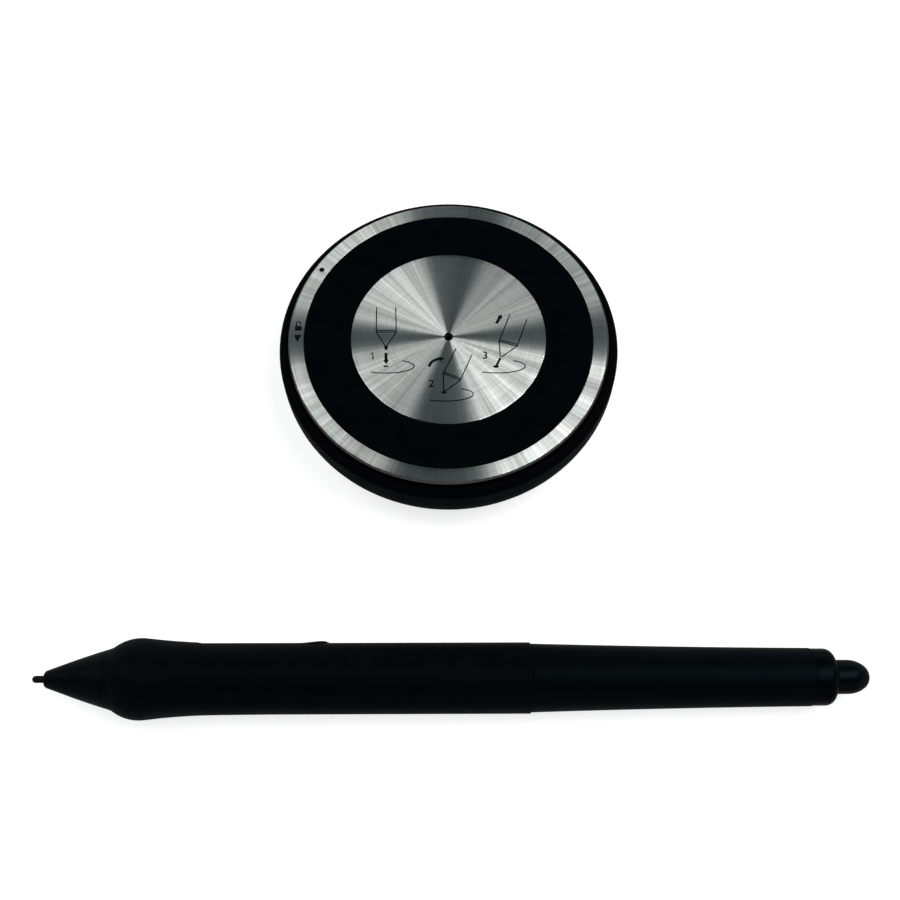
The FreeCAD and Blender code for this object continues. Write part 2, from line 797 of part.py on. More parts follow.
# Spun centre plate, with the hole that a worn nib is pushed into.
plate = turned("centre_plate", [
    ("plate_hole", "plate_low"),
    ("plate_radius", "plate_low"),
    ("plate_radius", "lid_plane - plate_edge"),
    ("plate_radius - plate_edge", "lid_plane"),
    ("plate_hole + plate_edge", "lid_plane"),
    ("plate_hole", "lid_plane - plate_edge"),
])
stand_on_table(plate)

# Steel insert that grips the nib when the pen is tipped.
puller = turned("nib_puller", [
    ("0", "puller_low"),
    ("puller_radius", "puller_low"),
    ("puller_radius", "plate_low - puller_flange_height"),
    ("puller_flange", "plate_low - puller_flange_height"),
    ("puller_flange", "plate_low"),
    ("puller_bore", "plate_low"),
    ("puller_bore", "plate_low - puller_bore_depth"),
    ("0", "plate_low - puller_bore_depth"),
])
stand_on_table(puller)

# Nib: a plain rod with a round tip.
turned("nib", [
    ("0", "0"),
    ("nib_length", "0"),
    ("nib_length", "nib_radius"),
    ("nib_radius", "nib_radius", "nib_radius"),
], upright=False)

# Cup that the nib plugs into, which passes its pressure on.
turned("nib_holder", [
    ("holder_start", "nib_radius + nib_fit"),
    ("nib_length + grip_bore_gap", "nib_radius + nib_fit"),
    ("nib_length + grip_bore_gap", "0"),
    ("holder_end", "0"),
    ("holder_end", "holder_radius"),
    ("holder_start", "holder_radius"),
], upright=False)

# Front end of the cone, a bush for the nib.
turned("nib_bush", [
    ("nib_reach", "nib_radius + running_gap"),
    ("cone_start", "nib_radius + running_gap"),
    ("cone_start", "bush_radius", "cone_bulge"),
    ("nib_reach + bush_round", "bush_neck", "bush_round_radius"),
    ("nib_reach", "bush_face"),
], upright=False)

# Cone, which screws off the tube's nose.
turned("tip_cone", [
    ("cone_start", "bush_radius - cone_wall"),
    ("nose_start - running_gap", "tube_nose_radius - running_gap * 8"),
    ("nose_start - running_gap", "tube_nose_radius + running_gap"),
    ("ring_start", "tube_nose_radius + running_gap"),
    ("ring_start", "cone_radius", "cone_bulge"),
    ("cone_start", "bush_radius"),
], upright=False)

# Loose ring behind the cone.
turned("accent_ring", [
    ("ring_start + running_gap", "tube_nose_radius + running_gap"),
    ("tube_start", "tube_nose_radius + running_gap"),
    ("tube_start", "ring_radius"),
    ("ring_start + running_gap", "cone_radius"),
], upright=False)

# Front tube under the grip, from the cone's thread to the joint with the rear tube.
tube = turned("front_barrel", [
    ("nose_start", "tube_nose_bore"),
    ("nose_step_end", "tube_nose_bore"),
    ("nose_step_end", "tube_bore"),
    ("grip_end - carrier_step_back", "tube_bore"),
    ("grip_end - carrier_step_back", "tube_tail_bore"),
    ("tail_end", "tube_tail_bore"),
    ("tail_end", "tube_tail_radius"),
    ("grip_end", "tube_tail_radius"),
    ("grip_end", "tube_radius"),
    ("tube_start", "tube_radius"),
    ("tube_start", "tube_nose_radius"),
    ("nose_start", "tube_nose_radius"),
], upright=False)

# Rubber grip over the front tube, with a flare at the fingers.
grip = turned("grip_sleeve", [
    ("grip_start", "tube_radius + grip_bore_gap"),
    ("grip_end", "tube_radius + grip_bore_gap"),
    ("grip_end", "grip_radius - grip_end_round", "grip_end_round"),
    ("grip_end - grip_end_round", "grip_radius"),
    ("grip_start + grip_straight_place", "grip_radius"),
    ("grip_start + waist_place", "waist_radius", "-flare_rear_curve"),
    ("flare_at + flare_crown", "flare_crown_radius", "flare_front_curve"),
    ("flare_at", "flare_radius", "flare_front_curve"),
    ("grip_start", "grip_lip"),
], upright=False)

# Both have the switch's slot, which opens to +Y.
for cased in (tube, grip):
    slot_outline = new_sketch(cased, cased.Name + "_slot_outline", "XZ_Plane")
    draw_outline(slot_outline, stadium(
        "switch_start - switch_gap", "switch_end + switch_gap", "slot_width"))
    pocket(cased, cased.Name + "_slot", slot_outline, "flare_radius * 2")
pivot_hole_outline = new_sketch(tube, "pivot_hole_outline", "XY_Plane")
draw_circle(pivot_hole_outline, "pivot_at", "pivot_height", "pivot_radius + grip_bore_gap")
pocket(tube, "pivot_hole", pivot_hole_outline, "pivot_half_length * 2 + seat_gap",
       both_ways=True)

# Rear tube, tapering to the eraser.
turned("rear_barrel", [
    ("grip_end", "tube_tail_radius + running_gap"),
    ("tail_end + seat_gap", "tube_tail_radius + running_gap"),
    ("tail_end + seat_gap", "barrel_bore"),
    ("collar_start", "barrel_bore"),
    ("collar_start", "barrel_rear_radius", "-barrel_sweep"),
    ("grip_end + barrel_edge", "barrel_front_radius"),
    ("grip_end", "barrel_front_radius - barrel_edge"),
], upright=False)

# Glossy collar round the eraser, plugged into the rear tube.
turned("end_collar", [
    ("collar_start - collar_spigot", "collar_bore"),
    ("collar_end", "collar_bore"),
    ("collar_end", "collar_radius - collar_round", "collar_round"),
    ("collar_end - collar_round", "collar_radius"),
    ("collar_start", "collar_radius"),
    ("collar_start", "barrel_bore - collar_spigot_gap"),
    ("collar_start - collar_spigot", "barrel_bore - collar_spigot_gap"),
], upright=False)

# Eraser button, held in by a flange behind the collar's spigot.
turned("eraser", [
    ("flange_start", "0"),
    ("pen_length", "0", "eraser_nose_curve"),
    ("pen_length - eraser_nose_length", "eraser_radius - eraser_shoulder_drop",
     "eraser_shoulder_curve"),
    ("pen_length - eraser_nose_length - eraser_shoulder_length", "eraser_radius"),
    ("flange_end", "eraser_radius"),
    ("flange_end", "eraser_flange"),
    ("flange_start", "eraser_flange"),
], upright=False)

# Stem from the eraser to its sensor.
turned("eraser_stem", [
    ("stem_start", "0"),
    ("flange_start", "0"),
    ("flange_start", "stem_head_radius"),
    ("flange_start - stem_head_length", "stem_head_radius"),
    ("flange_start - stem_head_length", "stem_radius"),
    ("stem_start", "stem_radius"),
], upright=False)

# Moulded carrier: a nose round the nib's holder, a half pipe under the board and a rear cup.
carrier = turned("chassis", [
    ("carrier_nose_start", "core_radius + grip_bore_gap"),
    ("core_end + running_gap", "core_radius + grip_bore_gap"),
    ("core_end + running_gap", "pad_radius + running_gap"),
    ("pad_start + running_gap", "pad_radius + running_gap"),
    ("pad_start + running_gap", "sensor_radius + running_gap"),
    ("sensor_end", "sensor_radius + running_gap"),
    ("sensor_end", "0"),
    ("sensor_end + bulkhead", "0"),
    ("sensor_end + bulkhead", "carrier_trough"),
    ("rear_sensor_start - bulkhead", "carrier_trough"),
    ("rear_sensor_start - bulkhead", "0"),
    ("rear_sensor_start", "0"),
    ("rear_sensor_start", "sensor_radius + running_gap"),
    ("rear_core_start - rear_wall", "sensor_radius + running_gap"),
    ("rear_core_start - rear_wall", "stem_radius + slide_gap"),
    ("rear_core_start", "stem_radius + slide_gap"),
    ("rear_core_start", "rear_cup_bore"),
    ("rear_cup_end", "rear_cup_bore"),
    ("rear_cup_end", "carrier_rear_radius"),
    ("grip_end - carrier_step_back", "carrier_rear_radius"),
    ("grip_end - carrier_step_back", "carrier_radius"),
    ("nose_step_end", "carrier_radius"),
    ("nose_step_end", "carrier_nose_radius"),
    ("carrier_nose_start", "carrier_nose_radius"),
], upright=False)
opening_outline = new_sketch(carrier, "opening_outline", "XZ_Plane", "-carrier_open_height")
draw_outline(opening_outline, [
    ("pad_start + running_gap", "-carrier_radius - seat_gap"),
    ("rear_core_start - rear_wall", "-carrier_radius - seat_gap"),
    ("rear_core_start - rear_wall", "carrier_radius + seat_gap"),
    ("pad_start + running_gap", "carrier_radius + seat_gap"),
])
pocket(carrier, "opening", opening_outline, "carrier_radius * 2")

# Ferrite tube round the nib, with its coil.
turned("tip_core", [
    ("core_start", "core_bore"),
    ("core_end", "core_bore"),
    ("core_end", "core_radius"),
    ("core_start", "core_radius"),
], upright=False)
turned("tip_coil", [
    ("coil_start", "core_radius + coil_gap"),
    ("coil_end", "core_radius + coil_gap"),
    ("coil_end", "coil_radius"),
    ("coil_start", "coil_radius"),
], upright=False)

# Pressure sensors with their rubber pads, one behind the nib and one before the eraser.
for name, first, last, radius in (
        ("tip_sensor_pad", "pad_start", "sensor_start", "pad_radius"),
        ("tip_sensor", "sensor_start", "sensor_end", "sensor_radius"),
        ("rear_sensor", "rear_sensor_start", "rear_sensor_end", "sensor_radius"),
        ("rear_sensor_pad", "rear_sensor_end", "rear_pad_end", "pad_radius")):
    turned(name, [(first, "0"), (last, "0"), (last, radius), (first, radius)], upright=False)

# Ferrite ring round the eraser's stem, with its coil.
turned("rear_core", [
    ("rear_core_start", "stem_radius + 2 * slide_gap"),
    ("rear_core_start + rear_core_length", "stem_radius + 2 * slide_gap"),
    ("rear_core_start + rear_core_length", "rear_core_radius"),
    ("rear_core_start", "rear_core_radius"),
], upright=False)
turned("rear_coil", [
    ("rear_core_start + rear_coil_inset", "rear_core_radius + coil_gap"),
    ("rear_core_start + rear_coil_inset + rear_coil_length", "rear_core_radius + coil_gap"),
    ("rear_core_start + rear_coil_inset + rear_coil_length", "rear_coil_radius"),
    ("rear_core_start + rear_coil_inset", "rear_coil_radius"),
], upright=False)

# Side switch: a rocker with a raised rear end, two nubs below and a boss for its pin.
rocker = new_body("side_switch")
rocker_outline = new_sketch(rocker, "rocker_outline", "XZ_Plane", "-switch_floor")
draw_outline(rocker_outline, stadium("switch_start", "switch_end", "switch_width"))
pad(rocker, "rocker_blank", rocker_outline, "flare_radius - switch_floor + 1",
    reversed_way=True)
crown_outline = new_sketch(rocker, "crown_outline", "XY_Plane")
draw_outline(crown_outline, [
    ("switch_start - switch_gap", "switch_radius"),
    ("switch_start + bump_start", "switch_radius", "-bump_curve"),
    ("switch_start + bump_start + bump_length", "switch_radius"),
    ("switch_end + switch_gap", "switch_radius"),
    ("switch_end + switch_gap", "flare_radius * 2"),
    ("switch_start - switch_gap", "flare_radius * 2"),
])
revolve(rocker, "crown", crown_outline, "H_Axis", kind="PartDesign::Groove")
for side, place in (("front", "pivot_at - nub_lever"), ("rear", "pivot_at + nub_lever")):
    nub_outline = new_sketch(rocker, side + "_nub_outline", "XZ_Plane", "-nub_bottom")
    draw_circle(nub_outline, place, "0", "nub_radius")
    pad(rocker, side + "_nub", nub_outline, "switch_floor - nub_bottom + seat_gap",
        reversed_way=True)
boss_circle = new_sketch(rocker, "pivot_boss_outline", "XY_Plane")
draw_circle(boss_circle, "pivot_at", "pivot_height", "pivot_boss")
pad(rocker, "pivot_boss_pad", boss_circle, "pivot_boss_half * 2", both_ways=True)
bore_circle = new_sketch(rocker, "pivot_bore_outline", "XY_Plane")
draw_circle(bore_circle, "pivot_at", "pivot_height", "pivot_radius + running_gap")
pocket(rocker, "pivot_bore", bore_circle, "switch_width + 1", both_ways=True)

# Pin that the rocker turns on, across the slot.
pin = new_body("switch_pivot")
pin_circle = new_sketch(pin, "pin_circle", "XY_Plane")
draw_circle(pin_circle, "pivot_at", "pivot_height", "pivot_radius")
pad(pin, "pin_rod", pin_circle, "pivot_half_length * 2", both_ways=True)


def plain_box(name, first, last, low, high, half_width):
    """A box along the pen's axis, from one station and height to another."""
    body = new_body(name)
    sketch = new_sketch(body, name + "_outline", "XY_Plane")
    draw_outline(sketch, [(first, low), (last, low), (last, high), (first, high)])
    pad(body, name + "_block", sketch, "(%s) * 2" % half_width, both_ways=True)
    return body


# Circuit board on the carrier's edges.
plain_box("circuit_board", "board_start", "board_start + board_length",
          "carrier_open_height", "board_top", "board_half_width")


def board_block(name, start, length, height, width, middle="0"):
    """A component on the board, as a plain box."""
    block = doc.addObject("Part::Box", name)
    bind(block, "Length", length)
    bind(block, "Height", width)
    bind(block, "Width", height)
    bind(block, "Placement.Base.x", start)
    bind(block, "Placement.Base.y", "board_top")
    bind(block, "Placement.Base.z", "%s - (%s) / 2" % (middle, width))
    return block


def board_can(name, place, radius, low, high, middle="0"):
    """A round component that stands on the board."""
    can = doc.addObject("Part::Cylinder", name)
    can.Placement = FreeCAD.Placement(
        FreeCAD.Vector(), FreeCAD.Rotation(FreeCAD.Vector(1, 0, 0), -90))
    bind(can, "Radius", radius)
    bind(can, "Height", "%s - (%s)" % (high, low))
    bind(can, "Placement.Base.x", place)
    bind(can, "Placement.Base.y", low)
    bind(can, "Placement.Base.z", middle)
    return can


def new_group(name, members):
    """Several separate solids that make one node."""
    group = doc.addObject("Part::Compound", name)
    group.Label = name
    group.Links = members
    parts[name] = group


# Two push switches under the rocker's nubs.
tact_solids = []
for side, place in (("front", "pivot_at - nub_lever"), ("rear", "pivot_at + nub_lever")):
    case = board_block(side + "_tact_case", place + " - tact_size / 2", "tact_size",
                       "tact_body_height", "tact_size")
    button = board_can(side + "_tact_button", place, "tact_button_radius",
                       "board_top", "tact_top")
    switch = doc.addObject("Part::Fuse", side + "_tact")
    switch.Base = case
    switch.Tool = button
    tact_solids.append(switch)
new_group("tact_switches", tact_solids)

# Chip, trimmer and rows of small capacitors behind the switch.
chip_start = "switch_end + chip_gap"
component_solids = [
    board_block("chip", chip_start, "chip_size", "chip_height", "chip_size"),
    board_can("trimmer", chip_start + " + trimmer_place", "trimmer_radius",
              "board_top", "board_top + chip_height"),
]
capacitor_rows = 4
for index in range(capacitor_rows):
    start = "%s + capacitor_place + capacitor_pitch * %d" % (chip_start, index)
    for side, middle in (("left", "-capacitor_side"), ("right", "capacitor_side")):
        component_solids.append(board_block(
            "capacitor_%s_%d" % (side, index), start, "capacitor_length",
            "capacitor_height", "capacitor_width", middle))
new_group("board_components", component_solids)

stand_names = (
    "stand_shell", "socket_liner", "ballast_ring", "nib_tray", "tray_screws",
    "spare_standard_nibs", "spare_felt_nibs", "spare_flex_nib", "spare_stroke_nib",
    "lid_seal", "lid_cup", "trim_ring", "rubber_foot", "centre_plate", "nib_puller")
for name, part in parts.items():
    if name not in stand_names:
        lay_on_table(part)

doc.recompute()

# Nothing is written unless every object is sound.
for thing in doc.Objects:
    if "Invalid" in thing.State or "Error" in thing.State:
        raise RuntimeError("failed: %s %s" % (thing.Label, thing.State))
for name, part in parts.items():
    if part.Shape.isNull() or not part.Shape.isValid():
        raise RuntimeError("bad shape: " + name)

os.makedirs("parts", exist_ok=True)
for name, part in parts.items():
    part.Shape.exportStep("parts/%s.step" % name)
    box = part.Shape.BoundBox
    print("%-20s %2d solid(s) %9.1f mm3  x %7.2f %7.2f  y %7.2f %7.2f  z %6.2f %6.2f" % (
        name, len(part.Shape.Solids), part.Shape.Volume,
        box.XMin, box.XMax, box.YMin, box.YMax, box.ZMin, box.ZMax))
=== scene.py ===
"""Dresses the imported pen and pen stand: finer pieces, their finishes, floor, lamps and camera."""
import json
from math import atan2, cos, pi, radians, sin, sqrt

import bmesh
import bpy
from mathutils import Matrix, Vector


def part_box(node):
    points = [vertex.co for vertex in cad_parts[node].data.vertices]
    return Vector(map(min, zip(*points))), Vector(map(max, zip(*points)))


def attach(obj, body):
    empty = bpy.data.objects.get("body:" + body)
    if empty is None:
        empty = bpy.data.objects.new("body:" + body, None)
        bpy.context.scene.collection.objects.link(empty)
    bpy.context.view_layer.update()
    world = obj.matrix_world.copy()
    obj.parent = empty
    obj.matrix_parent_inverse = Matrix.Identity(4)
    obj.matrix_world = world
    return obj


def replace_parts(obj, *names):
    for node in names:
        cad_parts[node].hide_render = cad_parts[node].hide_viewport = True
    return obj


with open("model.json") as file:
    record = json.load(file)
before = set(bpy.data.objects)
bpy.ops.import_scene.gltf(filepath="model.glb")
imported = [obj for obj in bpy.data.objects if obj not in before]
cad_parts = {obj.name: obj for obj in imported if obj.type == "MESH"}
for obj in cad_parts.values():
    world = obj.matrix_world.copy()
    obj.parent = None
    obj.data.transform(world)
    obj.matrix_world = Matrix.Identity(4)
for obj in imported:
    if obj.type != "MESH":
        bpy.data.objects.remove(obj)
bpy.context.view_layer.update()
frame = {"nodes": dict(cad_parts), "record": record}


# Stand shell
# The stand's body, a shallow dish with a hub for the pen socket, moulded in black plastic with
# a fine mould texture. It lies upside down here, so the dish is below and the lid on top.
MM = 0.001
NIGHT = (0.0007, 0.0013, 0.0019)
SHEEN, UNTINTED = (0.50, 0.80, 1.0, 1.0), (1.0, 1.0, 1.0, 1.0)
NOISE_MOSTLY = (0.3, 0.7)
WORN_PATCH, WORN_GLOSS = 4.0, 0.05


def add(tree, kind, inputs, **settings):
    """Adds a shader node, then sets it and wires or fills its inputs."""
    new = tree.nodes.new("ShaderNode" + kind)
    for name, value in settings.items():
        setattr(new, name, value)
    for name, value in inputs.items():
        if isinstance(value, bpy.types.NodeSocket):
            tree.links.new(value, new.inputs[name])
        else:
            new.inputs[name].default_value = value
    return new


def blank(name, colour, roughness, sockets):
    """A new material, with its tree, its shader and the piece's own coordinates."""
    material = bpy.data.materials.new(name)
    material.use_nodes = True
    tree = material.node_tree
    shader = tree.nodes["Principled BSDF"]
    shader.inputs["Base Color"].default_value = (*colour, 1.0)
    shader.inputs["Roughness"].default_value = roughness
    for socket, value in sockets.items():
        shader.inputs[socket].default_value = value
    place = add(tree, "TexCoord", {}).outputs["Object"]
    return material, tree, shader, place


def cloud(tree, place, size, detail=2.0):
    """Noise with lumps about `size` millimetres wide, from 0 to 1."""
    return add(tree, "TexNoise", {"Vector": place, "Scale": 1.0 / (size * MM), "Detail": detail,
                                  "Roughness": 0.55}).outputs["Fac"]


def ranged(tree, value, start, end, low, high):
    """Brings a value between start and end to one between low and high."""
    return add(tree, "MapRange", {"Value": value, "From Min": start, "From Max": end,
                                  "To Min": low, "To Max": high}).outputs["Result"]


def spread(tree, noise, low, high):
    """Brings the range that noise mostly keeps to, to low and high."""
    return ranged(tree, noise, *NOISE_MOSTLY, low, high)


def drifting(tree, shader, colour, pattern, drift):
    """Wires the base colour, which the pattern makes a little darker or lighter."""
    ramp = add(tree, "ValToRGB", {"Fac": pattern})
    stops = zip(ramp.color_ramp.elements, NOISE_MOSTLY, (1 - drift, 1 + drift))
    for stop, place, share in stops:
        stop.position = place
        stop.color = (*(min(part * share, 1.0) for part in colour), 1.0)
    tree.links.new(ramp.outputs["Color"], shader.inputs["Base Color"])


def relief(tree, shader, height, depth):
    """Bump `depth` millimetres deep."""
    bump = add(tree, "Bump", {"Height": height, "Distance": depth * MM, "Strength": 1.0})
    tree.links.new(bump.outputs["Normal"], shader.inputs["Normal"])


def moulded(name, colour, roughness, grain, depth, drift=0.15, specular=0.5, tint=UNTINTED):
    """Moulded plastic or rubber: a grain from the mould, and gloss that wears unevenly."""
    material, tree, shader, place = blank(name, colour, roughness, {
        "Specular IOR Level": specular, "Specular Tint": tint})
    wear = cloud(tree, place, WORN_PATCH)
    drifting(tree, shader, colour, wear, drift)
    tree.links.new(spread(tree, wear, roughness - WORN_GLOSS, roughness + WORN_GLOSS),
                   shader.inputs["Roughness"])
    relief(tree, shader, cloud(tree, place, grain), depth)
    return material


def black(name, roughness, grain, depth, specular, drift=0.15):
    """The black that stand and pen share, with its faint bluish gloss."""
    return moulded(name, NIGHT, roughness, grain, depth, drift, specular, SHEEN)


def dress(material, *nodes):
    """Gives CAD nodes their finish."""
    for node in nodes:
        for slot in frame["nodes"][node].material_slots:
            slot.material = material


dress(black("stand_plastic", 0.45, 0.16, 0.005, 0.008), "stand_shell")


# Socket liner
# A soft rubber funnel pressed into the hub, which holds the pen upright by its nose.
# It is moulded in one piece and has a dull, slightly dusty skin.
dress(moulded("liner_rubber", (0.012, 0.013, 0.014), 0.75, 0.08, 0.004, specular=0.3),
      "socket_liner")


# Ballast ring
# A steel ring, punched from sheet and zinc plated, which gives the stand its weight.
# The nib tray clamps it down on the ribs.
HAZE_PATCH, HAZE_DRIFT = 2.5, 0.12
HAZE_SHARPER, HAZE_DULLER = 0.06, 0.08


def plated(name, colour, roughness, grain=0.05, depth=0.0015):
    """Plated or polished metal with fine random scratches."""
    material, tree, shader, place = blank(name, colour, roughness, {"Metallic": 1.0})
    haze = cloud(tree, place, HAZE_PATCH)
    drifting(tree, shader, colour, haze, HAZE_DRIFT)
    tree.links.new(spread(tree, haze, roughness - HAZE_SHARPER, roughness + HAZE_DULLER),
                   shader.inputs["Roughness"])
    relief(tree, shader, cloud(tree, place, grain, 4.0), depth)
    return material


dress(plated("zinc_steel", (0.48, 0.50, 0.52), 0.38), "ballast_ring")


# Nib tray
# A dark grey moulded tray with a groove for each spare nib, screwed in under the lid.
# Its face is matt, so the nibs are easy to see.
dress(moulded("tray_plastic", (0.030, 0.032, 0.034), 0.5, 0.12, 0.005), "nib_tray")


# Tray screws
# Three pan head screws with a cross slot, black zinc plated, which hold the tray
# and the weight in the shell.
dress(plated("black_zinc", (0.10, 0.10, 0.11), 0.35), "tray_screws")


# Spare nibs
# Ten small rods: five hard plastic, three of pressed felt, one with a soft end and one with
# a spring at its middle. They are only laid in the tray's grooves.
nib_plastic = moulded("nib_plastic", (0.004, 0.006, 0.007), 0.40, 0.05, 0.001, specular=0.03)
dress(nib_plastic, "spare_standard_nibs")
dress(moulded("nib_felt", (0.16, 0.16, 0.155), 0.9, 0.06, 0.02, 0.3, specular=0.2),
      "spare_felt_nibs")
dress(moulded("nib_soft_plastic", (0.045, 0.047, 0.05), 0.42, 0.06, 0.001), "spare_flex_nib")
dress(moulded("nib_white_plastic", (0.42, 0.42, 0.40), 0.38, 0.06, 0.001), "spare_stroke_nib")


# Lid seal
# A rubber ring in the shell's mouth, which the lid turns on, so that it closes softly.
# It is cut from extruded cord stock and has a smooth skin.
dress(moulded("seal_rubber", (0.008, 0.009, 0.010), 0.6, 0.1, 0.003, specular=0.3), "lid_seal")


# Lid cup
# The twist-off base: a black moulded cup whose skirt carries three bayonet lugs.
# The rubber foot and the metal disc are glued into its face, and the metal ring is pressed
# over its edge.
dress(black("lid_plastic", 0.45, 0.14, 0.005, 0.008), "lid_cup")


# Trim ring
# An aluminium ring, turned on a lathe and left bright, pressed over the cup's edge.
# Its flat face runs out into a bevel, and the turning marks lie round it.
lid_low, lid_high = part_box("trim_ring")
lid_top = lid_high.z / MM
lid_radius = (lid_high.x - lid_low.x) / 2 / MM
lid_place = Matrix.Translation(((lid_low.x + lid_high.x) / 2, (lid_low.y + lid_high.y) / 2, 0.0))
lid_scale = lid_place @ Matrix.Scale(MM, 4)
TRIM_WIDTH, TRIM_DEPTH, TRIM_WALL, TRIM_EDGE = 3.2, 2.1, 0.7, 0.06
BEVEL_WIDTH, BEVEL_DEPTH, BEVEL_EDGE = 0.35, 0.45, 0.04
SEAT = 0.8
SHARP_FROM = 35
ALUMINIUM = (0.76, 0.785, 0.757)
# The last of these is the bevels' share of the colour, painted near black as a painted dark
# reflection.
TURNED_GLOSS, POLISHED_GLOSS, BEVEL_PAINTED_DARK = 0.28, 0.10, 0.07
FLAT_FROM, FLAT_FULLY = 0.80, 0.98
GROOVE_GAP, GROOVE_SLOPE, GROOVE_SHADE, GROOVE_WANDER = 0.30, 0.03, (0.89, 1.08), (2, 2, 2)
CHATTER_SCALE, CHATTER_SHADE = 40.0, (-0.29, 0.15)
# How strong the chatter is off and on the diagonals: painted reflection streaks that follow the lit
# fans.
CHATTER_IN_DARK_WEDGES, LIT_FANS_FULLY = 0.15, 0.45


def spun(outline, steps):
    """Spins an outline round the upright axis, all the way, and closes its seam."""
    bmesh.ops.spin(outline, geom=outline.verts[:] + outline.edges[:], cent=(0, 0, 0),
                   axis=(0, 0, 1), angle=2 * pi, steps=steps, use_merge=True)
    bmesh.ops.remove_doubles(outline, verts=outline.verts[:], dist=1e-5)


def finished(name, mesh_work, material, body):
    """Ends a bmesh as a smooth object that rides on a body."""
    mesh = bpy.data.meshes.new(name)
    mesh_work.to_mesh(mesh)
    mesh_work.free()
    mesh.shade_smooth()
    mesh.set_sharp_from_angle(angle=radians(SHARP_FROM))
    mesh.materials.append(material)
    piece = bpy.data.objects.new(name, mesh)
    bpy.context.scene.collection.objects.link(piece)
    piece.modifiers.new("even_normals", "WEIGHTED_NORMAL").keep_sharp = True
    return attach(piece, body)


def turned(name, outline, place, material, body, node, steps=240):
    """A turned piece: its closed half outline of (radius, height, rounding) in millimetres,
    each corner rounded over its own distance, spun round the axis and put in its place."""
    lathe = bmesh.new()
    corners = [lathe.verts.new((point[0], 0.0, point[1])) for point in outline]
    for first, second in zip(corners, corners[1:] + corners[:1]):
        lathe.edges.new((first, second))
    for corner, point in zip(corners, outline):
        if len(point) > 2:
            bmesh.ops.bevel(lathe, geom=[corner], offset=point[2], offset_type="OFFSET",
                            segments=5, profile=0.5, affect="VERTICES", material=-1)
    spun(lathe, steps)
    bmesh.ops.transform(lathe, matrix=place, verts=lathe.verts[:])
    bmesh.ops.recalc_face_normals(lathe, faces=lathe.faces[:])
    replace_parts(finished(name, lathe, material, body), node)


def calc(tree, operation, *values):
    """What a Math node makes of these values."""
    return add(tree, "Math", dict(enumerate(values)), operation=operation).outputs["Value"]


def steer(tree, operation, *values):
    """What a Vector Math node makes of these vectors."""
    return add(tree, "VectorMath", dict(enumerate(values)),
               operation=operation).outputs["Vector"]


def distance(tree, vector):
    """How long a vector is."""
    return add(tree, "VectorMath", {0: vector}, operation="LENGTH").outputs["Value"]


def lathe_cut(name):
    """Aluminium turned on a lathe. Its grooves lean in and out from the lid's axis and spread
    the light across them. The tool's chatter leaves faint spokes in the colour, painted strongest
    on the diagonals where the lamps' bright reflections fall: partly real chatter, partly painted
    reflection streaks.
    Faces that don't lie flat are polished, and their colour is painted almost black, a painted dark
    reflection."""
    material, tree, shader, place = blank(name, ALUMINIUM, TURNED_GLOSS,
                                          {"Metallic": 1.0, "Anisotropic": 1.0})
    flat = steer(tree, "SUBTRACT", place, lid_place.translation)
    flat = steer(tree, "MULTIPLY", flat, (1, 1, 0))
    spoke = steer(tree, "NORMALIZE", flat)
    across = add(tree, "VectorTransform", {"Vector": spoke}, vector_type="VECTOR",
                 convert_from="OBJECT", convert_to="WORLD").outputs["Vector"]
    upright = add(tree, "NewGeometry", {}).outputs["Normal"]
    level = add(tree, "SeparateXYZ", {"Vector": upright}).outputs["Z"]
    level = ranged(tree, level, FLAT_FROM, FLAT_FULLY, 0.0, 1.0)

    turns = calc(tree, "MULTIPLY", distance(tree, flat), 1.0 / (GROOVE_GAP * MM))
    turns = add(tree, "CombineXYZ", {"Z": turns}).outputs["Vector"]
    turns = steer(tree, "MULTIPLY_ADD", spoke, GROOVE_WANDER, turns)
    grooves = add(tree, "TexNoise", {"Vector": turns, "Scale": 1.0, "Detail": 2.0,
                                     "Roughness": 0.6}).outputs["Fac"]
    slope = calc(tree, "MULTIPLY", spread(tree, grooves, -GROOVE_SLOPE, GROOVE_SLOPE), level)
    lean = steer(tree, "NORMALIZE", steer(tree, "MULTIPLY_ADD", across, slope, upright))
    gloss = ranged(tree, level, 0.0, 1.0, POLISHED_GLOSS, TURNED_GLOSS)
    tree.links.new(lean, shader.inputs["Normal"])
    tree.links.new(across, shader.inputs["Tangent"])
    tree.links.new(gloss, shader.inputs["Roughness"])

    # Painted reflection streaks: the chatter is strongest on the diagonals, where the lamps' bright
    # fans fall, and faint on the dark wedges.
    sides = add(tree, "SeparateXYZ", {"Vector": spoke}).outputs
    lit_fans = calc(tree, "ABSOLUTE", calc(tree, "MULTIPLY", sides["X"], sides["Y"]))
    lit_fans = ranged(tree, lit_fans, 0.0, LIT_FANS_FULLY, CHATTER_IN_DARK_WEDGES, 1.0)
    spokes = add(tree, "TexNoise", {"Vector": spoke, "Scale": CHATTER_SCALE, "Detail": 1.0,
                                    "Roughness": 0.6}).outputs["Fac"]
    chatter_with_painted_streaks = calc(tree, "MULTIPLY_ADD", spread(tree, spokes, *CHATTER_SHADE), lit_fans, 1.0)
    shade = calc(tree, "MULTIPLY", spread(tree, grooves, *GROOVE_SHADE), chatter_with_painted_streaks)
    # The bevels' colour is painted almost black: painted shade for the dark room they reflect.
    shade = calc(tree, "MULTIPLY", shade, ranged(tree, level, 0.0, 1.0, BEVEL_PAINTED_DARK, 1.0))
    tint = add(tree, "VectorMath", {0: ALUMINIUM, "Scale": shade}, operation="SCALE")
    tree.links.new(tint.outputs["Vector"], shader.inputs["Base Color"])
    return material


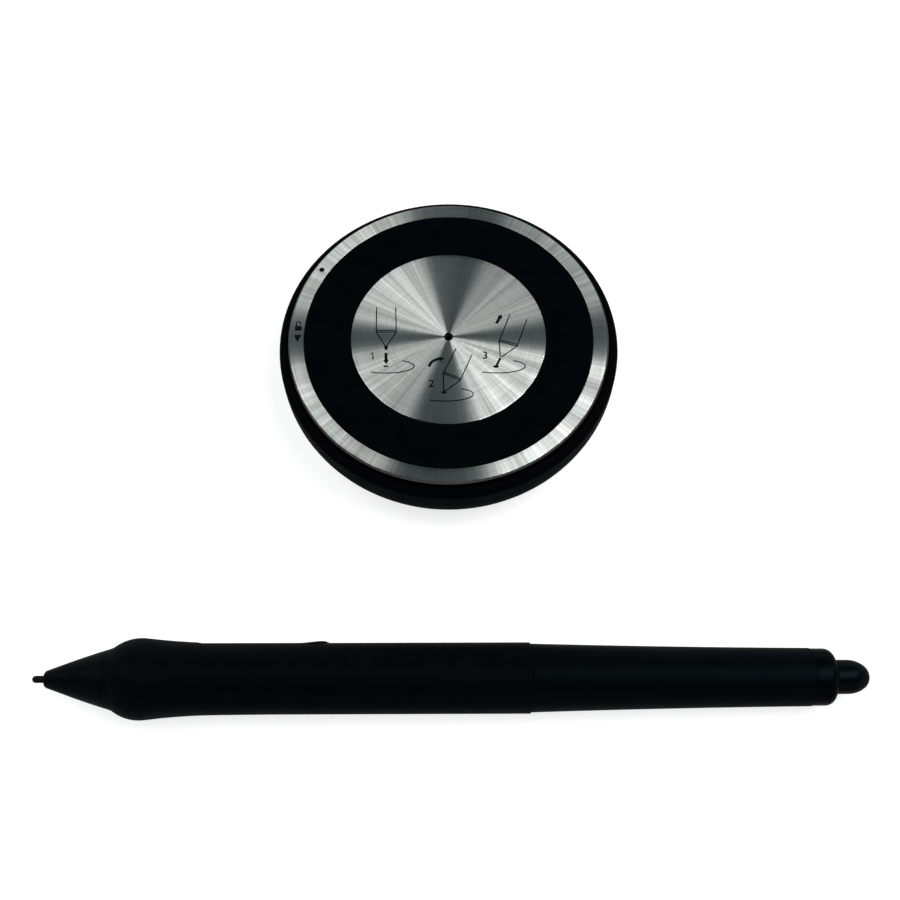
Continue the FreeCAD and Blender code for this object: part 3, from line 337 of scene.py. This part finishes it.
turned("trim_ring_turned", [
    (lid_radius - TRIM_WALL, lid_top - TRIM_DEPTH), (lid_radius, lid_top - TRIM_DEPTH, TRIM_EDGE),
    (lid_radius, lid_top - BEVEL_DEPTH, TRIM_EDGE), (lid_radius - BEVEL_WIDTH, lid_top, BEVEL_EDGE),
    (lid_radius - TRIM_WIDTH, lid_top, TRIM_EDGE), (lid_radius - TRIM_WIDTH, lid_top - SEAT),
    (lid_radius - TRIM_WALL, lid_top - SEAT)],
    lid_scale, lathe_cut("ring_aluminium"), "lid", "trim_ring")


# Rubber foot
# A flat ring of black rubber with rounded edges, glued between the metal ring and the disc.
# The stand rests on it, so it is proud of the metal, and dust makes its black uneven.
foot_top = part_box("rubber_foot")[1].z / MM
FOOT_INNER, FOOT_OUTER, FOOT_EDGE = 19.92, 29.36, 0.3
foot_rubber = moulded("foot_rubber", (0.0006, 0.0016, 0.0024), 0.62, 0.12, 0.006, 0.25,
                      specular=0.006)
turned("rubber_foot_moulded", [
    (FOOT_INNER, lid_top - SEAT), (FOOT_OUTER, lid_top - SEAT),
    (FOOT_OUTER, foot_top, FOOT_EDGE), (FOOT_INNER, foot_top, FOOT_EDGE)],
    lid_scale, foot_rubber, "lid", "rubber_foot")


# Centre plate
# The bright aluminium disc, faced on a lathe from its rim to the small hole in the middle.
# Both its edges are eased, and it is glued into the cup's face.
HOLE_RADIUS, PLATE_RADIUS, PLATE_EDGE = 0.9, 19.85, 0.1
turned("centre_plate_turned", [
    (HOLE_RADIUS, lid_top - SEAT), (PLATE_RADIUS, lid_top - SEAT),
    (PLATE_RADIUS, lid_top, PLATE_EDGE), (HOLE_RADIUS, lid_top, PLATE_EDGE)],
    lid_scale, lathe_cut("plate_aluminium"), "lid", "centre_plate")


# Printed signs
# How the hole pulls a worn nib, as three small line drawings with numbers, a lock sign and
# two turning marks, all pad printed in black ink. The print stands hardly above the metal.
ink = moulded("black_ink", (0.003, 0.004, 0.004), 0.5, 0.05, 0.0005, specular=0.02)
INK_PROUD, SLAB = 0.012, 0.5
LINE, WAIST_GAP, STOPS_SHORT = 0.24, 0.4, 0.06
NUMBER_HEIGHT, HEIGHT_OF_EM, NUMBER_WEIGHT = 1.6, 0.70, 0.045
SHAFT, ARROW_HEAD = 0.60, 1.0
DISC_OVAL = (5.55, 1.53, -123.4, 55.7)


def printed(curve):
    """Makes a drawing, in millimetres on the lid's face, a mesh as thin as the ink."""
    holder = bpy.data.objects.new("drawing", curve)
    bpy.context.scene.collection.objects.link(holder)
    bpy.context.view_layer.update()
    mesh = bpy.data.meshes.new_from_object(holder)
    bpy.data.objects.remove(holder)
    bpy.data.curves.remove(curve)
    tall = max(abs(vertex.co.z) for vertex in mesh.vertices)
    mesh.transform(Matrix.Diagonal((1.0, 1.0, INK_PROUD / tall, 1.0)))
    return mesh


def trace(curve, points):
    """Draws straight runs from point to point in a curve."""
    line = curve.splines.new("POLY")
    line.points.add(len(points) - 1)
    for point, (x, y) in zip(line.points, points):
        point.co = (x, y, 0.0, 1.0)
    return line


def wire(points, width):
    """A drawn line of one width."""
    curve = bpy.data.curves.new("line", "CURVE")
    curve.dimensions = "3D"
    curve.bevel_depth = width / 2
    curve.bevel_resolution = 1
    curve.use_fill_caps = True
    trace(curve, points)
    return printed(curve)


def blot(points):
    """A filled shape inside a closed outline."""
    curve = bpy.data.curves.new("shape", "CURVE")
    curve.dimensions = "2D"
    curve.fill_mode = "BOTH"
    curve.extrude = SLAB
    trace(curve, points).use_cyclic_u = True
    return printed(curve)


def numeral(digit, x, y):
    """A printed number, centred on x with its foot at y."""
    curve = bpy.data.curves.new("number", "FONT")
    curve.body = digit
    curve.size = NUMBER_HEIGHT / HEIGHT_OF_EM
    curve.offset = NUMBER_WEIGHT
    curve.extrude = SLAB
    curve.align_x = "CENTER"
    mesh = printed(curve)
    mesh.transform(Matrix.Translation((x, y, 0.0)))
    return mesh


def oval(x, y, wide, high, start=0.0, end=360.0, steps=32):
    """Points along an ellipse or part of one."""
    angles = [radians(start + (end - start) * step / steps) for step in range(steps + 1)]
    return [(x + wide * cos(angle), y + high * sin(angle)) for angle in angles]


def pen_lines(left, right, tip):
    """The drawn pen's end, from the (top, waist) of each side and its point: the sides stop
    short of the point by a share of their length, and two lines cross the waist."""
    tip = Vector(tip)
    sides, waist, above = [], [], []
    for top, low in (left, right):
        top, low = Vector(top), Vector(low)
        sides.append([top, low, tip.lerp(low, STOPS_SHORT)])
        waist.append(low)
        above.append(low + (top - low).normalized() * WAIST_GAP)
    return [wire(line, LINE) for line in sides + [waist, above]]


def disc_line(x, y):
    """The stand's edge in a drawing, as an open oval."""
    return wire(oval(x, y, *DISC_OVAL), LINE)


def arrow(tail, head):
    """A thick straight arrow, whose head is twice as wide as its shaft."""
    tail, head = Vector(tail), Vector(head)
    ahead = (head - tail).normalized()
    side = Vector((-ahead.y, ahead.x)) * SHAFT / 2
    neck = head - ahead * ARROW_HEAD
    return blot([tail + side, neck + side, neck + side * 2, head, neck - side * 2, neck - side,
                 tail - side])


def print_on_lid(name, drawings):
    """Joins drawings into one thin layer of ink on the metal."""
    layer = bmesh.new()
    for drawing in drawings:
        layer.from_mesh(drawing)
        bpy.data.meshes.remove(drawing)
    bmesh.ops.remove_doubles(layer, verts=layer.verts[:], dist=1e-5)
    bmesh.ops.transform(layer, matrix=lid_scale @ Matrix.Translation((0, 0, lid_top)),
                        verts=layer.verts[:])
    bmesh.ops.recalc_face_normals(layer, faces=layer.faces[:])
    finished(name, layer, ink, "lid")


print_on_lid("sign_insert", [
    *pen_lines(((-14.73, 7.09), (-14.70, 1.17)), ((-10.82, 7.09), (-10.62, 1.17)),
               (-12.66, -2.30)),
    blot([(-13.08, -2.05), (-12.24, -2.05), (-12.42, -3.0), (-12.90, -3.0)]),
    arrow((-12.64, -3.71), (-12.58, -6.33)),
    wire([(-13.05, -6.78), (-12.15, -6.78)], 0.40),
    disc_line(-12.48, -6.81),
    wire([(-15.65, -4.02), (-15.25, -3.62), (-15.25, -5.15)], 0.34)])
print_on_lid("sign_tilt", [
    *pen_lines(((1.51, -2.78), (-1.10, -8.51)), ((4.74, -4.17), (2.30, -10.09)),
               (-1.00, -12.75)),
    blot(oval(-0.95, -12.80, 0.50, 0.30)),
    disc_line(-0.68, -13.22),
    wire(oval(-1.35, -7.05, 2.55, 1.95, 178, 98, 12), SHAFT),
    blot([(-1.80, -4.62), (-0.75, -5.12), (-1.72, -5.72)]),
    numeral("2", -3.49, -11.52)])
print_on_lid("sign_pull", [
    *pen_lines(((12.61, 5.19), (10.25, -1.16)), ((16.07, 4.00), (13.87, -2.32)),
               (10.45, -5.00)),
    wire([(10.45, -5.00), (9.55, -6.92)], 0.46),
    blot(oval(9.50, -7.02, 0.60, 0.30)),
    arrow((9.80, 3.05), (10.95, 5.25)),
    disc_line(9.83, -6.95),
    numeral("3", 7.37, -5.15)])
print_on_lid("sign_unlock", [
    blot(oval(-26.35, 16.32, 0.55, 0.55)),
    blot([(-31.45, 0.66), (-29.90, 0.66), (-30.68, -1.03)]),
    blot([(-31.30, 1.65), (-29.95, 1.65), (-29.95, 2.75), (-31.30, 2.75)]),
    wire([(-31.03, 2.75), *oval(-30.62, 3.35, 0.41, 0.45, 180, 0, 12), (-30.21, 3.15)], 0.22)])


# Nib puller
# A hardened steel insert below the small hole. A nib pushed in is gripped by its edge and
# drawn out when the pen is tilted and lifted.
dress(plated("puller_steel", (0.05, 0.05, 0.055), 0.45), "nib_puller")


# Nib
# A hard black plastic rod with a rounded point, smooth where it touches the tablet.
# It is only pushed in.
dress(nib_plastic, "nib")


# Nib bush
# The cone's front end, a separate bush with the hole that guides the nib.
# It is turned to a soft rounded nose and glued into the cone.
joints = {joint["name"]: joint for joint in frame["record"]["behaviour"]["joints"]}
way = -Vector(joints["nib_pull"]["axis"]).normalized()
axis_point = Vector(joints["cone_turn"]["pos_m"])
nib = frame["nodes"]["nib"]
pen_tip = axis_point + way * min((nib.matrix_world @ vertex.co - axis_point).dot(way)
                                 for vertex in nib.data.vertices)
pen_up = Vector((-way.z, 0.0, way.x))
pen_place = Matrix.Translation(pen_tip) @ Matrix(
    (pen_up, way.cross(pen_up), way)).transposed().to_4x4() @ Matrix.Scale(MM, 4)
NIB_HOLE, BUSH_START, BUSH_NOSE, NOSE_ROUND = 0.73, 2.3, 1.47, 0.5
CONE_START, CONE_NOSE = 7.4, 3.3
PEN_EDGE = 0.07


def pen_piece(name, outline, material, body, node, steps=160):
    """A turned piece of the pen; its heights are millimetres from the nib's point."""
    turned(name, outline, pen_place, material, body, node, steps)


pen_piece("nib_bush_turned", [
    (NIB_HOLE, BUSH_START), (BUSH_NOSE, BUSH_START, NOSE_ROUND),
    (CONE_NOSE, CONE_START, PEN_EDGE), (NIB_HOLE, CONE_START)],
    black("bush_plastic", 0.36, 0.08, 0.002, 0.035), "cone", "nib_bush")


# Tip cone
# The cone that screws off the pen to change the nib, in satin black plastic.
# It bulges very slightly, and its edges are eased where they meet bush and ring.
CONE_END, CONE_RADIUS, CONE_BULGE = 14.1, 5.49, 150
BUSH_SEAT, THREAD_START, THREAD_RADIUS = 2.25, 10.9, 3.95


def bow(first, second, radius, steps=6):
    """Points of an arc between two outline points; a negative radius is hollow."""
    start, end = Vector(first), Vector(second)
    chord = end - start
    middle = (start + end) / 2
    out = Vector((abs(chord.y), -chord.x if chord.y > 0 else chord.x)).normalized()
    centre = middle - out * sqrt(radius * radius - chord.length_squared / 4) * (
        1 if radius > 0 else -1)
    turn = [atan2(*(point - centre).yx) for point in (start, end)]
    sweep = (turn[1] - turn[0] + pi) % (2 * pi) - pi
    return [(centre.x + abs(radius) * cos(turn[0] + sweep * step / steps),
             centre.y + abs(radius) * sin(turn[0] + sweep * step / steps))
            for step in range(1, steps)]


pen_piece("tip_cone_turned", [
    (BUSH_SEAT, CONE_START), (CONE_NOSE, CONE_START, PEN_EDGE),
    *bow((CONE_NOSE, CONE_START), (CONE_RADIUS, CONE_END), CONE_BULGE),
    (CONE_RADIUS, CONE_END, PEN_EDGE), (THREAD_RADIUS, CONE_END), (THREAD_RADIUS, THREAD_START)],
    black("cone_plastic", 0.38, 0.12, 0.003, 0.03), "cone", "tip_cone")


# Accent ring
# A loose ring between cone and grip, which owners swap for one of another colour.
# This one is black, and it comes off once the cone is unscrewed.
RING_START, RING_END, RING_RADIUS, RING_BULGE = 14.15, 15.3, 5.9, 40
pen_piece("accent_ring_turned", [
    (THREAD_RADIUS, RING_START), (CONE_RADIUS, RING_START, PEN_EDGE),
    *bow((CONE_RADIUS, RING_START), (RING_RADIUS, RING_END), RING_BULGE, 4),
    (RING_RADIUS, RING_END, PEN_EDGE), (THREAD_RADIUS, RING_END)],
    black("accent_plastic", 0.44, 0.10, 0.003, 0.03), "cone_ring", "accent_ring")


# Front barrel
# The plastic tube under the grip, with a slot for the side switch. It carries the cone's
# thread at its front, and the rear barrel is pushed over its other end.
dress(moulded("barrel_inner_plastic", NIGHT, 0.4, 0.12, 0.003), "front_barrel")


# Grip sleeve
# A tube of soft black rubber pulled over the front barrel, flared at the front to stop the
# fingers. Its skin is dull, with a very fine grain.
dress(black("grip_rubber", 0.50, 0.14, 0.005, 0.025, 0.2), "grip_sleeve")


# Rear barrel
# The long tapered tube behind the grip, moulded in black plastic with a satin mould texture.
# It is slightly hollow along its length and eased where it meets the collar.
BARREL_START, BARREL_END, BARREL_HOLLOW, BARREL_EDGE = 92.9, 145.3, -2600, 0.12
BARREL_FRONT, BARREL_REAR, BARREL_BORE = 6.34, 5.4, 4.25
TAIL_BORE, TAIL_END = 5.0, 101.1
pen_piece("rear_barrel_moulded", [
    (TAIL_BORE, BARREL_START), (BARREL_FRONT - BARREL_EDGE, BARREL_START),
    (BARREL_FRONT, BARREL_START + BARREL_EDGE),
    *bow((BARREL_FRONT, BARREL_START + BARREL_EDGE), (BARREL_REAR, BARREL_END),
         BARREL_HOLLOW, 10),
    (BARREL_REAR, BARREL_END, BARREL_EDGE), (BARREL_BORE, BARREL_END),
    (BARREL_BORE, TAIL_END), (TAIL_BORE, TAIL_END)],
    black("barrel_plastic", 0.46, 0.14, 0.004, 0.025), "pen", "rear_barrel")


# End collar
# A glossy black plastic ring with a rounded shoulder, which closes the barrel and guides
# the eraser. Its plug is snapped into the barrel's end.
COLLAR_END, COLLAR_RADIUS, COLLAR_BORE, COLLAR_ROUND = 149.7, 5.3, 3.3, 1.8
PLUG_START, PLUG_RADIUS = 140.0, 4.17
pen_piece("end_collar_moulded", [
    (COLLAR_BORE, COLLAR_END), (COLLAR_RADIUS, COLLAR_END, COLLAR_ROUND),
    (COLLAR_RADIUS, BARREL_END, BARREL_EDGE), (PLUG_RADIUS, BARREL_END),
    (PLUG_RADIUS, PLUG_START), (COLLAR_BORE, PLUG_START)],
    black("collar_plastic", 0.24, 0.4, 0.001, 0.02), "pen", "end_collar")


# Eraser
# The pen's other end, a polished black plastic button with a domed tip on a white stem.
# Pressing it on the tablet moves it into the collar by less than a millimetre.
ERASER_TIP, ERASER_SHOULDER, ERASER_SIDE = (0.0, 156.5), (2.25, 155.3), (3.18, 152.4)
TIP_DOME, SHOULDER_DOME = 2.71, 5.0
FLANGE_START, FLANGE_END, FLANGE_RADIUS = 138.2, 139.8, 3.7
eraser_gloss = moulded("eraser_plastic", (0.0009, 0.0022, 0.0027), 0.24, 0.5, 0.001,
                       specular=0.03, tint=SHEEN)
pen_piece("eraser_moulded", [
    ERASER_TIP, *bow(ERASER_TIP, ERASER_SHOULDER, TIP_DOME, 10),
    ERASER_SHOULDER, *bow(ERASER_SHOULDER, ERASER_SIDE, SHOULDER_DOME, 8),
    ERASER_SIDE, (ERASER_SIDE[0], FLANGE_END), (FLANGE_RADIUS, FLANGE_END),
    (FLANGE_RADIUS, FLANGE_START), (0.0, FLANGE_START)],
    eraser_gloss, "eraser", "eraser", 96)
dress(moulded("stem_plastic", (0.62, 0.62, 0.60), 0.4, 0.1, 0.002), "eraser_stem")


# Side switch
# A two-way rocker in satin black plastic on the far side, on a steel pin.
# It presses one of two small switches on the board below.
SWITCH_FRONT, SWITCH_REAR, HALF_WIDE, UNDERSIDE = 30.0, 55.5, 3.2, 4.4
CROWN, HUMP, HUMP_START, HUMP_TOP = 6.6, 0.34, 49.4, 54.1
EDGE_DROP, EDGE_BAND = 0.10, 0.3
END_STEPS, SIDE_STEPS, WIDE_STEPS = 10, 40, 16
NUB_PLACES, NUB_RADIUS, NUB_HEIGHT, NUB_LEVEL = (35.0, 51.0), 0.8, 0.9, 4.0


def eased(value):
    """A smooth step from 0 to 1."""
    value = min(max(value, 0.0), 1.0)
    return value * value * (3 - 2 * value)


turns = [radians(90 * step / END_STEPS) for step in range(END_STEPS + 1)]
straight = SWITCH_REAR - SWITCH_FRONT - 2 * HALF_WIDE
rows = [(SWITCH_FRONT + HALF_WIDE * (1 - cos(turn)), HALF_WIDE * sin(turn)) for turn in turns]
rows += [(SWITCH_FRONT + HALF_WIDE + straight * step / SIDE_STEPS, HALF_WIDE)
         for step in range(1, SIDE_STEPS)]
rows += [(SWITCH_REAR - HALF_WIDE * (1 - cos(turn)), HALF_WIDE * sin(turn))
         for turn in reversed(turns)]
rocker = bmesh.new()
bmesh.ops.create_grid(rocker, x_segments=WIDE_STEPS, y_segments=len(rows) - 1, size=1.0)
for vertex in rocker.verts:
    place, half = rows[round((vertex.co.y + 1) / 2 * (len(rows) - 1))]
    x = vertex.co.x * half
    crown = CROWN + HUMP * eased((place - HUMP_START) / (HUMP_TOP - HUMP_START)) * eased(
        (SWITCH_REAR - place) / (SWITCH_REAR - HUMP_TOP))
    drop = EDGE_DROP * (max(abs(x) - half + EDGE_BAND, 0.0) / EDGE_BAND) ** 2
    vertex.co = (x, drop - sqrt(crown * crown - x * x), place)
walls = bmesh.ops.extrude_face_region(rocker, geom=rocker.faces[:])
for part in walls["geom"]:
    if isinstance(part, bmesh.types.BMVert):
        part.co.y = -UNDERSIDE
bmesh.ops.remove_doubles(rocker, verts=rocker.verts[:], dist=1e-4)
bmesh.ops.dissolve_degenerate(rocker, edges=rocker.edges[:], dist=1e-5)
for place in NUB_PLACES:
    bmesh.ops.create_cone(rocker, cap_ends=True, segments=32, radius1=NUB_RADIUS,
                          radius2=NUB_RADIUS, depth=NUB_HEIGHT,
                          matrix=Matrix.Translation((0, -NUB_LEVEL, place))
                          @ Matrix.Rotation(pi / 2, 4, "X"))
bmesh.ops.transform(rocker, matrix=pen_place, verts=rocker.verts[:])
bmesh.ops.recalc_face_normals(rocker, faces=rocker.faces[:])
switch_plastic = black("switch_plastic", 0.40, 0.1, 0.003, 0.025)
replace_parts(finished("side_switch_moulded", rocker, switch_plastic, "switch"),
            "side_switch")
dress(plated("pin_steel", (0.5, 0.5, 0.51), 0.25), "switch_pivot")
dress(plated("switch_tin", (0.55, 0.54, 0.52), 0.3), "tact_switches")


# Chassis and circuit board
# A moulded carrier holds everything inside the pen. The board is green glass laminate, its
# parts are black ceramic and plastic, soldered in rows.
dress(moulded("carrier_plastic", (0.05, 0.052, 0.055), 0.5, 0.12, 0.003), "chassis")
dress(moulded("board_laminate", (0.012, 0.085, 0.035), 0.35, 0.2, 0.002, 0.3), "circuit_board")
dress(moulded("chip_plastic", (0.014, 0.014, 0.015), 0.5, 0.08, 0.002), "board_components")


# Coils and sensors
# Ferrite cores with enamelled copper windings at both ends, and the two pressure sensors
# behind nib and eraser with their rubber pads.
dress(moulded("ferrite", (0.028, 0.027, 0.028), 0.6, 0.08, 0.004), "tip_core", "rear_core")
dress(plated("enamelled_copper", (0.62, 0.24, 0.09), 0.32, 0.1, 0.004), "tip_coil", "rear_coil")
dress(moulded("holder_plastic", (0.55, 0.54, 0.50), 0.42, 0.1, 0.002), "nib_holder")
dress(moulded("sensor_plastic", (0.07, 0.072, 0.075), 0.45, 0.1, 0.002),
      "tip_sensor", "rear_sensor")
dress(moulded("pad_rubber", (0.09, 0.088, 0.085), 0.8, 0.08, 0.003),
      "tip_sensor_pad", "rear_sensor_pad")


# Floor and backdrop
# A white paper sheet that curves up all round. It glows white to the camera and in
# reflections, less so near the object, where it keeps the shadow of what lies on it.
FLOOR_RADIUS, RIM_HEIGHT, RIM_BEND, RIM_STEPS = 2.0, 0.80, 0.30, 10
ABOVE_FLOOR = Vector((0.0, 0.0, 0.5))
PAPER = (0.42, 0.42, 0.42, 1.0)
SHOWN_NEAR, SHOWN_FAR, SHOWN_BETWEEN = 0.78, 1.0, (0.22, 0.70)
MIRRORED_NEAR, MIRRORED_FAR, MIRRORED_BETWEEN = 0.10, 0.78, (0.15, 0.45)
bends = [radians(90 * step / RIM_STEPS) for step in range(RIM_STEPS + 1)]
profile = [(0.0, 0.0)]
profile += [(FLOOR_RADIUS - RIM_BEND * (1 - sin(bend)), RIM_BEND * (1 - cos(bend)))
            for bend in bends]
profile += [(FLOOR_RADIUS, RIM_HEIGHT)]
sheet = bmesh.new()
row = [sheet.verts.new((radius, 0.0, height)) for radius, height in profile]
for first, second in zip(row, row[1:]):
    sheet.edges.new((first, second))
spun(sheet, 96)
for face in sheet.faces:
    if face.normal.dot(ABOVE_FLOOR - face.calc_center_median()) < 0:
        face.normal_flip()
floor_mesh = bpy.data.meshes.new("floor")
sheet.to_mesh(floor_mesh)
sheet.free()
floor_mesh.shade_smooth()
floor = bpy.data.objects.new("floor", floor_mesh)
bpy.context.scene.collection.objects.link(floor)
paper = bpy.data.materials.new("white_paper")
paper.use_nodes = True
tree = paper.node_tree
tree.nodes.remove(tree.nodes["Principled BSDF"])
sees = add(tree, "LightPath", {}).outputs
away = distance(tree, add(tree, "TexCoord", {}).outputs["Object"])
shown = ranged(tree, away, *SHOWN_BETWEEN, SHOWN_NEAR, SHOWN_FAR)
mirrored = ranged(tree, away, *MIRRORED_BETWEEN, MIRRORED_NEAR, MIRRORED_FAR)
bounced = calc(tree, "MAXIMUM", sees["Is Glossy Ray"], sees["Is Transmission Ray"])
strength = calc(tree, "MULTIPLY_ADD", sees["Is Camera Ray"], shown,
                calc(tree, "MULTIPLY", bounced, mirrored))
glow = add(tree, "Emission", {"Color": (1.0, 1.0, 1.0, 1.0), "Strength": strength}).outputs[0]
matt = add(tree, "BsdfDiffuse", {"Color": PAPER}).outputs[0]
both = add(tree, "AddShader", {0: glow, 1: matt}).outputs[0]
tree.links.new(both, tree.nodes["Material Output"].inputs["Surface"])
paper.cycles.emission_sampling = "NONE"
floor_mesh.materials.append(paper)


# Lamps
# Long soft boxes, placed where the turned disc reflects them: each lights one spoke of it.
# They stand at the sides and behind in four groups, with one more at the middle of the back,
# so that the spokes between stay dark. The room beyond is dim and bluish.
SUBJECT = lid_place.translation + Vector((0.0, 0.0, lid_top * MM))
TO_CAMERA = Vector((0.0, -0.506, 0.863))
LAMP_DISTANCE, LAMP_WIDTH, END_LAMP_WIDTH = 1.4, 0.10, 0.05
LEAST_LEAN, MOST_LEAN = 15, 31
ROOM_COLOUR, ROOM_LIGHT = (0.45, 0.95, 1.0, 1.0), 0.032
END_SPOKES = (15, 162, 194, 345)
LAMPS = {"back_right": {15: 1.45, 25: 0.64, 37: 0.68, 49: 0.60, 59: 0.46},
         "back_left": {115: 0.55, 124: 0.85, 137: 1.20, 150: 2.40, 162: 1.95},
         "side_left": {194: 7.20, 204: 6.70, 216: 5.35, 228: 5.20, 241: 4.20},
         "side_right": {291: 7.70, 304: 10.8, 317: 11.2, 331: 9.50, 345: 15.8},
         "back": {90: 0.42}}


def seen_in_disc(spoke, lean):
    """Where the metal's grooves, leaning by `lean` degrees, reflect on that spoke of the disc."""
    half = Vector((sin(radians(lean)) * cos(radians(spoke)),
                   sin(radians(lean)) * sin(radians(spoke)), cos(radians(lean))))
    return (half * 2 * half.dot(TO_CAMERA) - TO_CAMERA).normalized()


def soft_box(name, spoke, radiance):
    """A long area lamp that lies along one spoke's reflection, with the radiance of its face."""
    out = seen_in_disc(spoke, (LEAST_LEAN + MOST_LEAN) / 2)
    length = seen_in_disc(spoke, MOST_LEAN) - seen_in_disc(spoke, LEAST_LEAN)
    lamp = bpy.data.lights.new(name, "AREA")
    lamp.shape = "RECTANGLE"
    lamp.size = (END_LAMP_WIDTH if spoke in END_SPOKES else LAMP_WIDTH) * LAMP_DISTANCE
    lamp.size_y = length.length * LAMP_DISTANCE
    lamp.energy = radiance * pi * lamp.size * lamp.size_y
    holder = bpy.data.objects.new(name, lamp)
    bpy.context.scene.collection.objects.link(holder)
    tall = (length - out * length.dot(out)).normalized()
    turn = Matrix((tall.cross(out), tall, out)).transposed().to_4x4()
    holder.matrix_world = Matrix.Translation(SUBJECT + out * LAMP_DISTANCE) @ turn
    holder.visible_camera = False


for group, lamps in LAMPS.items():
    for spoke, radiance in lamps.items():
        soft_box("%s_%d" % (group, spoke), spoke, radiance)
room = bpy.data.worlds.new("room")
room.use_nodes = True
room.node_tree.nodes["Background"].inputs["Color"].default_value = ROOM_COLOUR
room.node_tree.nodes["Background"].inputs["Strength"].default_value = ROOM_LIGHT
bpy.context.scene.world = room


# Camera
# It looks down steeply from the front, with a slightly long lens. Its place was fitted to
# the circles on the stand's face and to the pen's length.
CAMERA_PLACE, CAMERA_TILT, CAMERA_ROLL = (-0.00015, -0.10708, 0.2338), 25.177, -0.386
lens = bpy.data.cameras.new("camera")
lens.lens, lens.sensor_width = 49.36, 36.0
lens.clip_start, lens.clip_end = 0.01, 20.0
camera = bpy.data.objects.new("camera", lens)
camera.location = CAMERA_PLACE
camera.rotation_euler = (Matrix.Rotation(radians(CAMERA_TILT), 3, "X")
                         @ Matrix.Rotation(radians(CAMERA_ROLL), 3, "Z")).to_euler()
bpy.context.scene.collection.objects.link(camera)
bpy.context.scene.camera = camera
bpy.context.scene.view_settings.view_transform = "Standard"
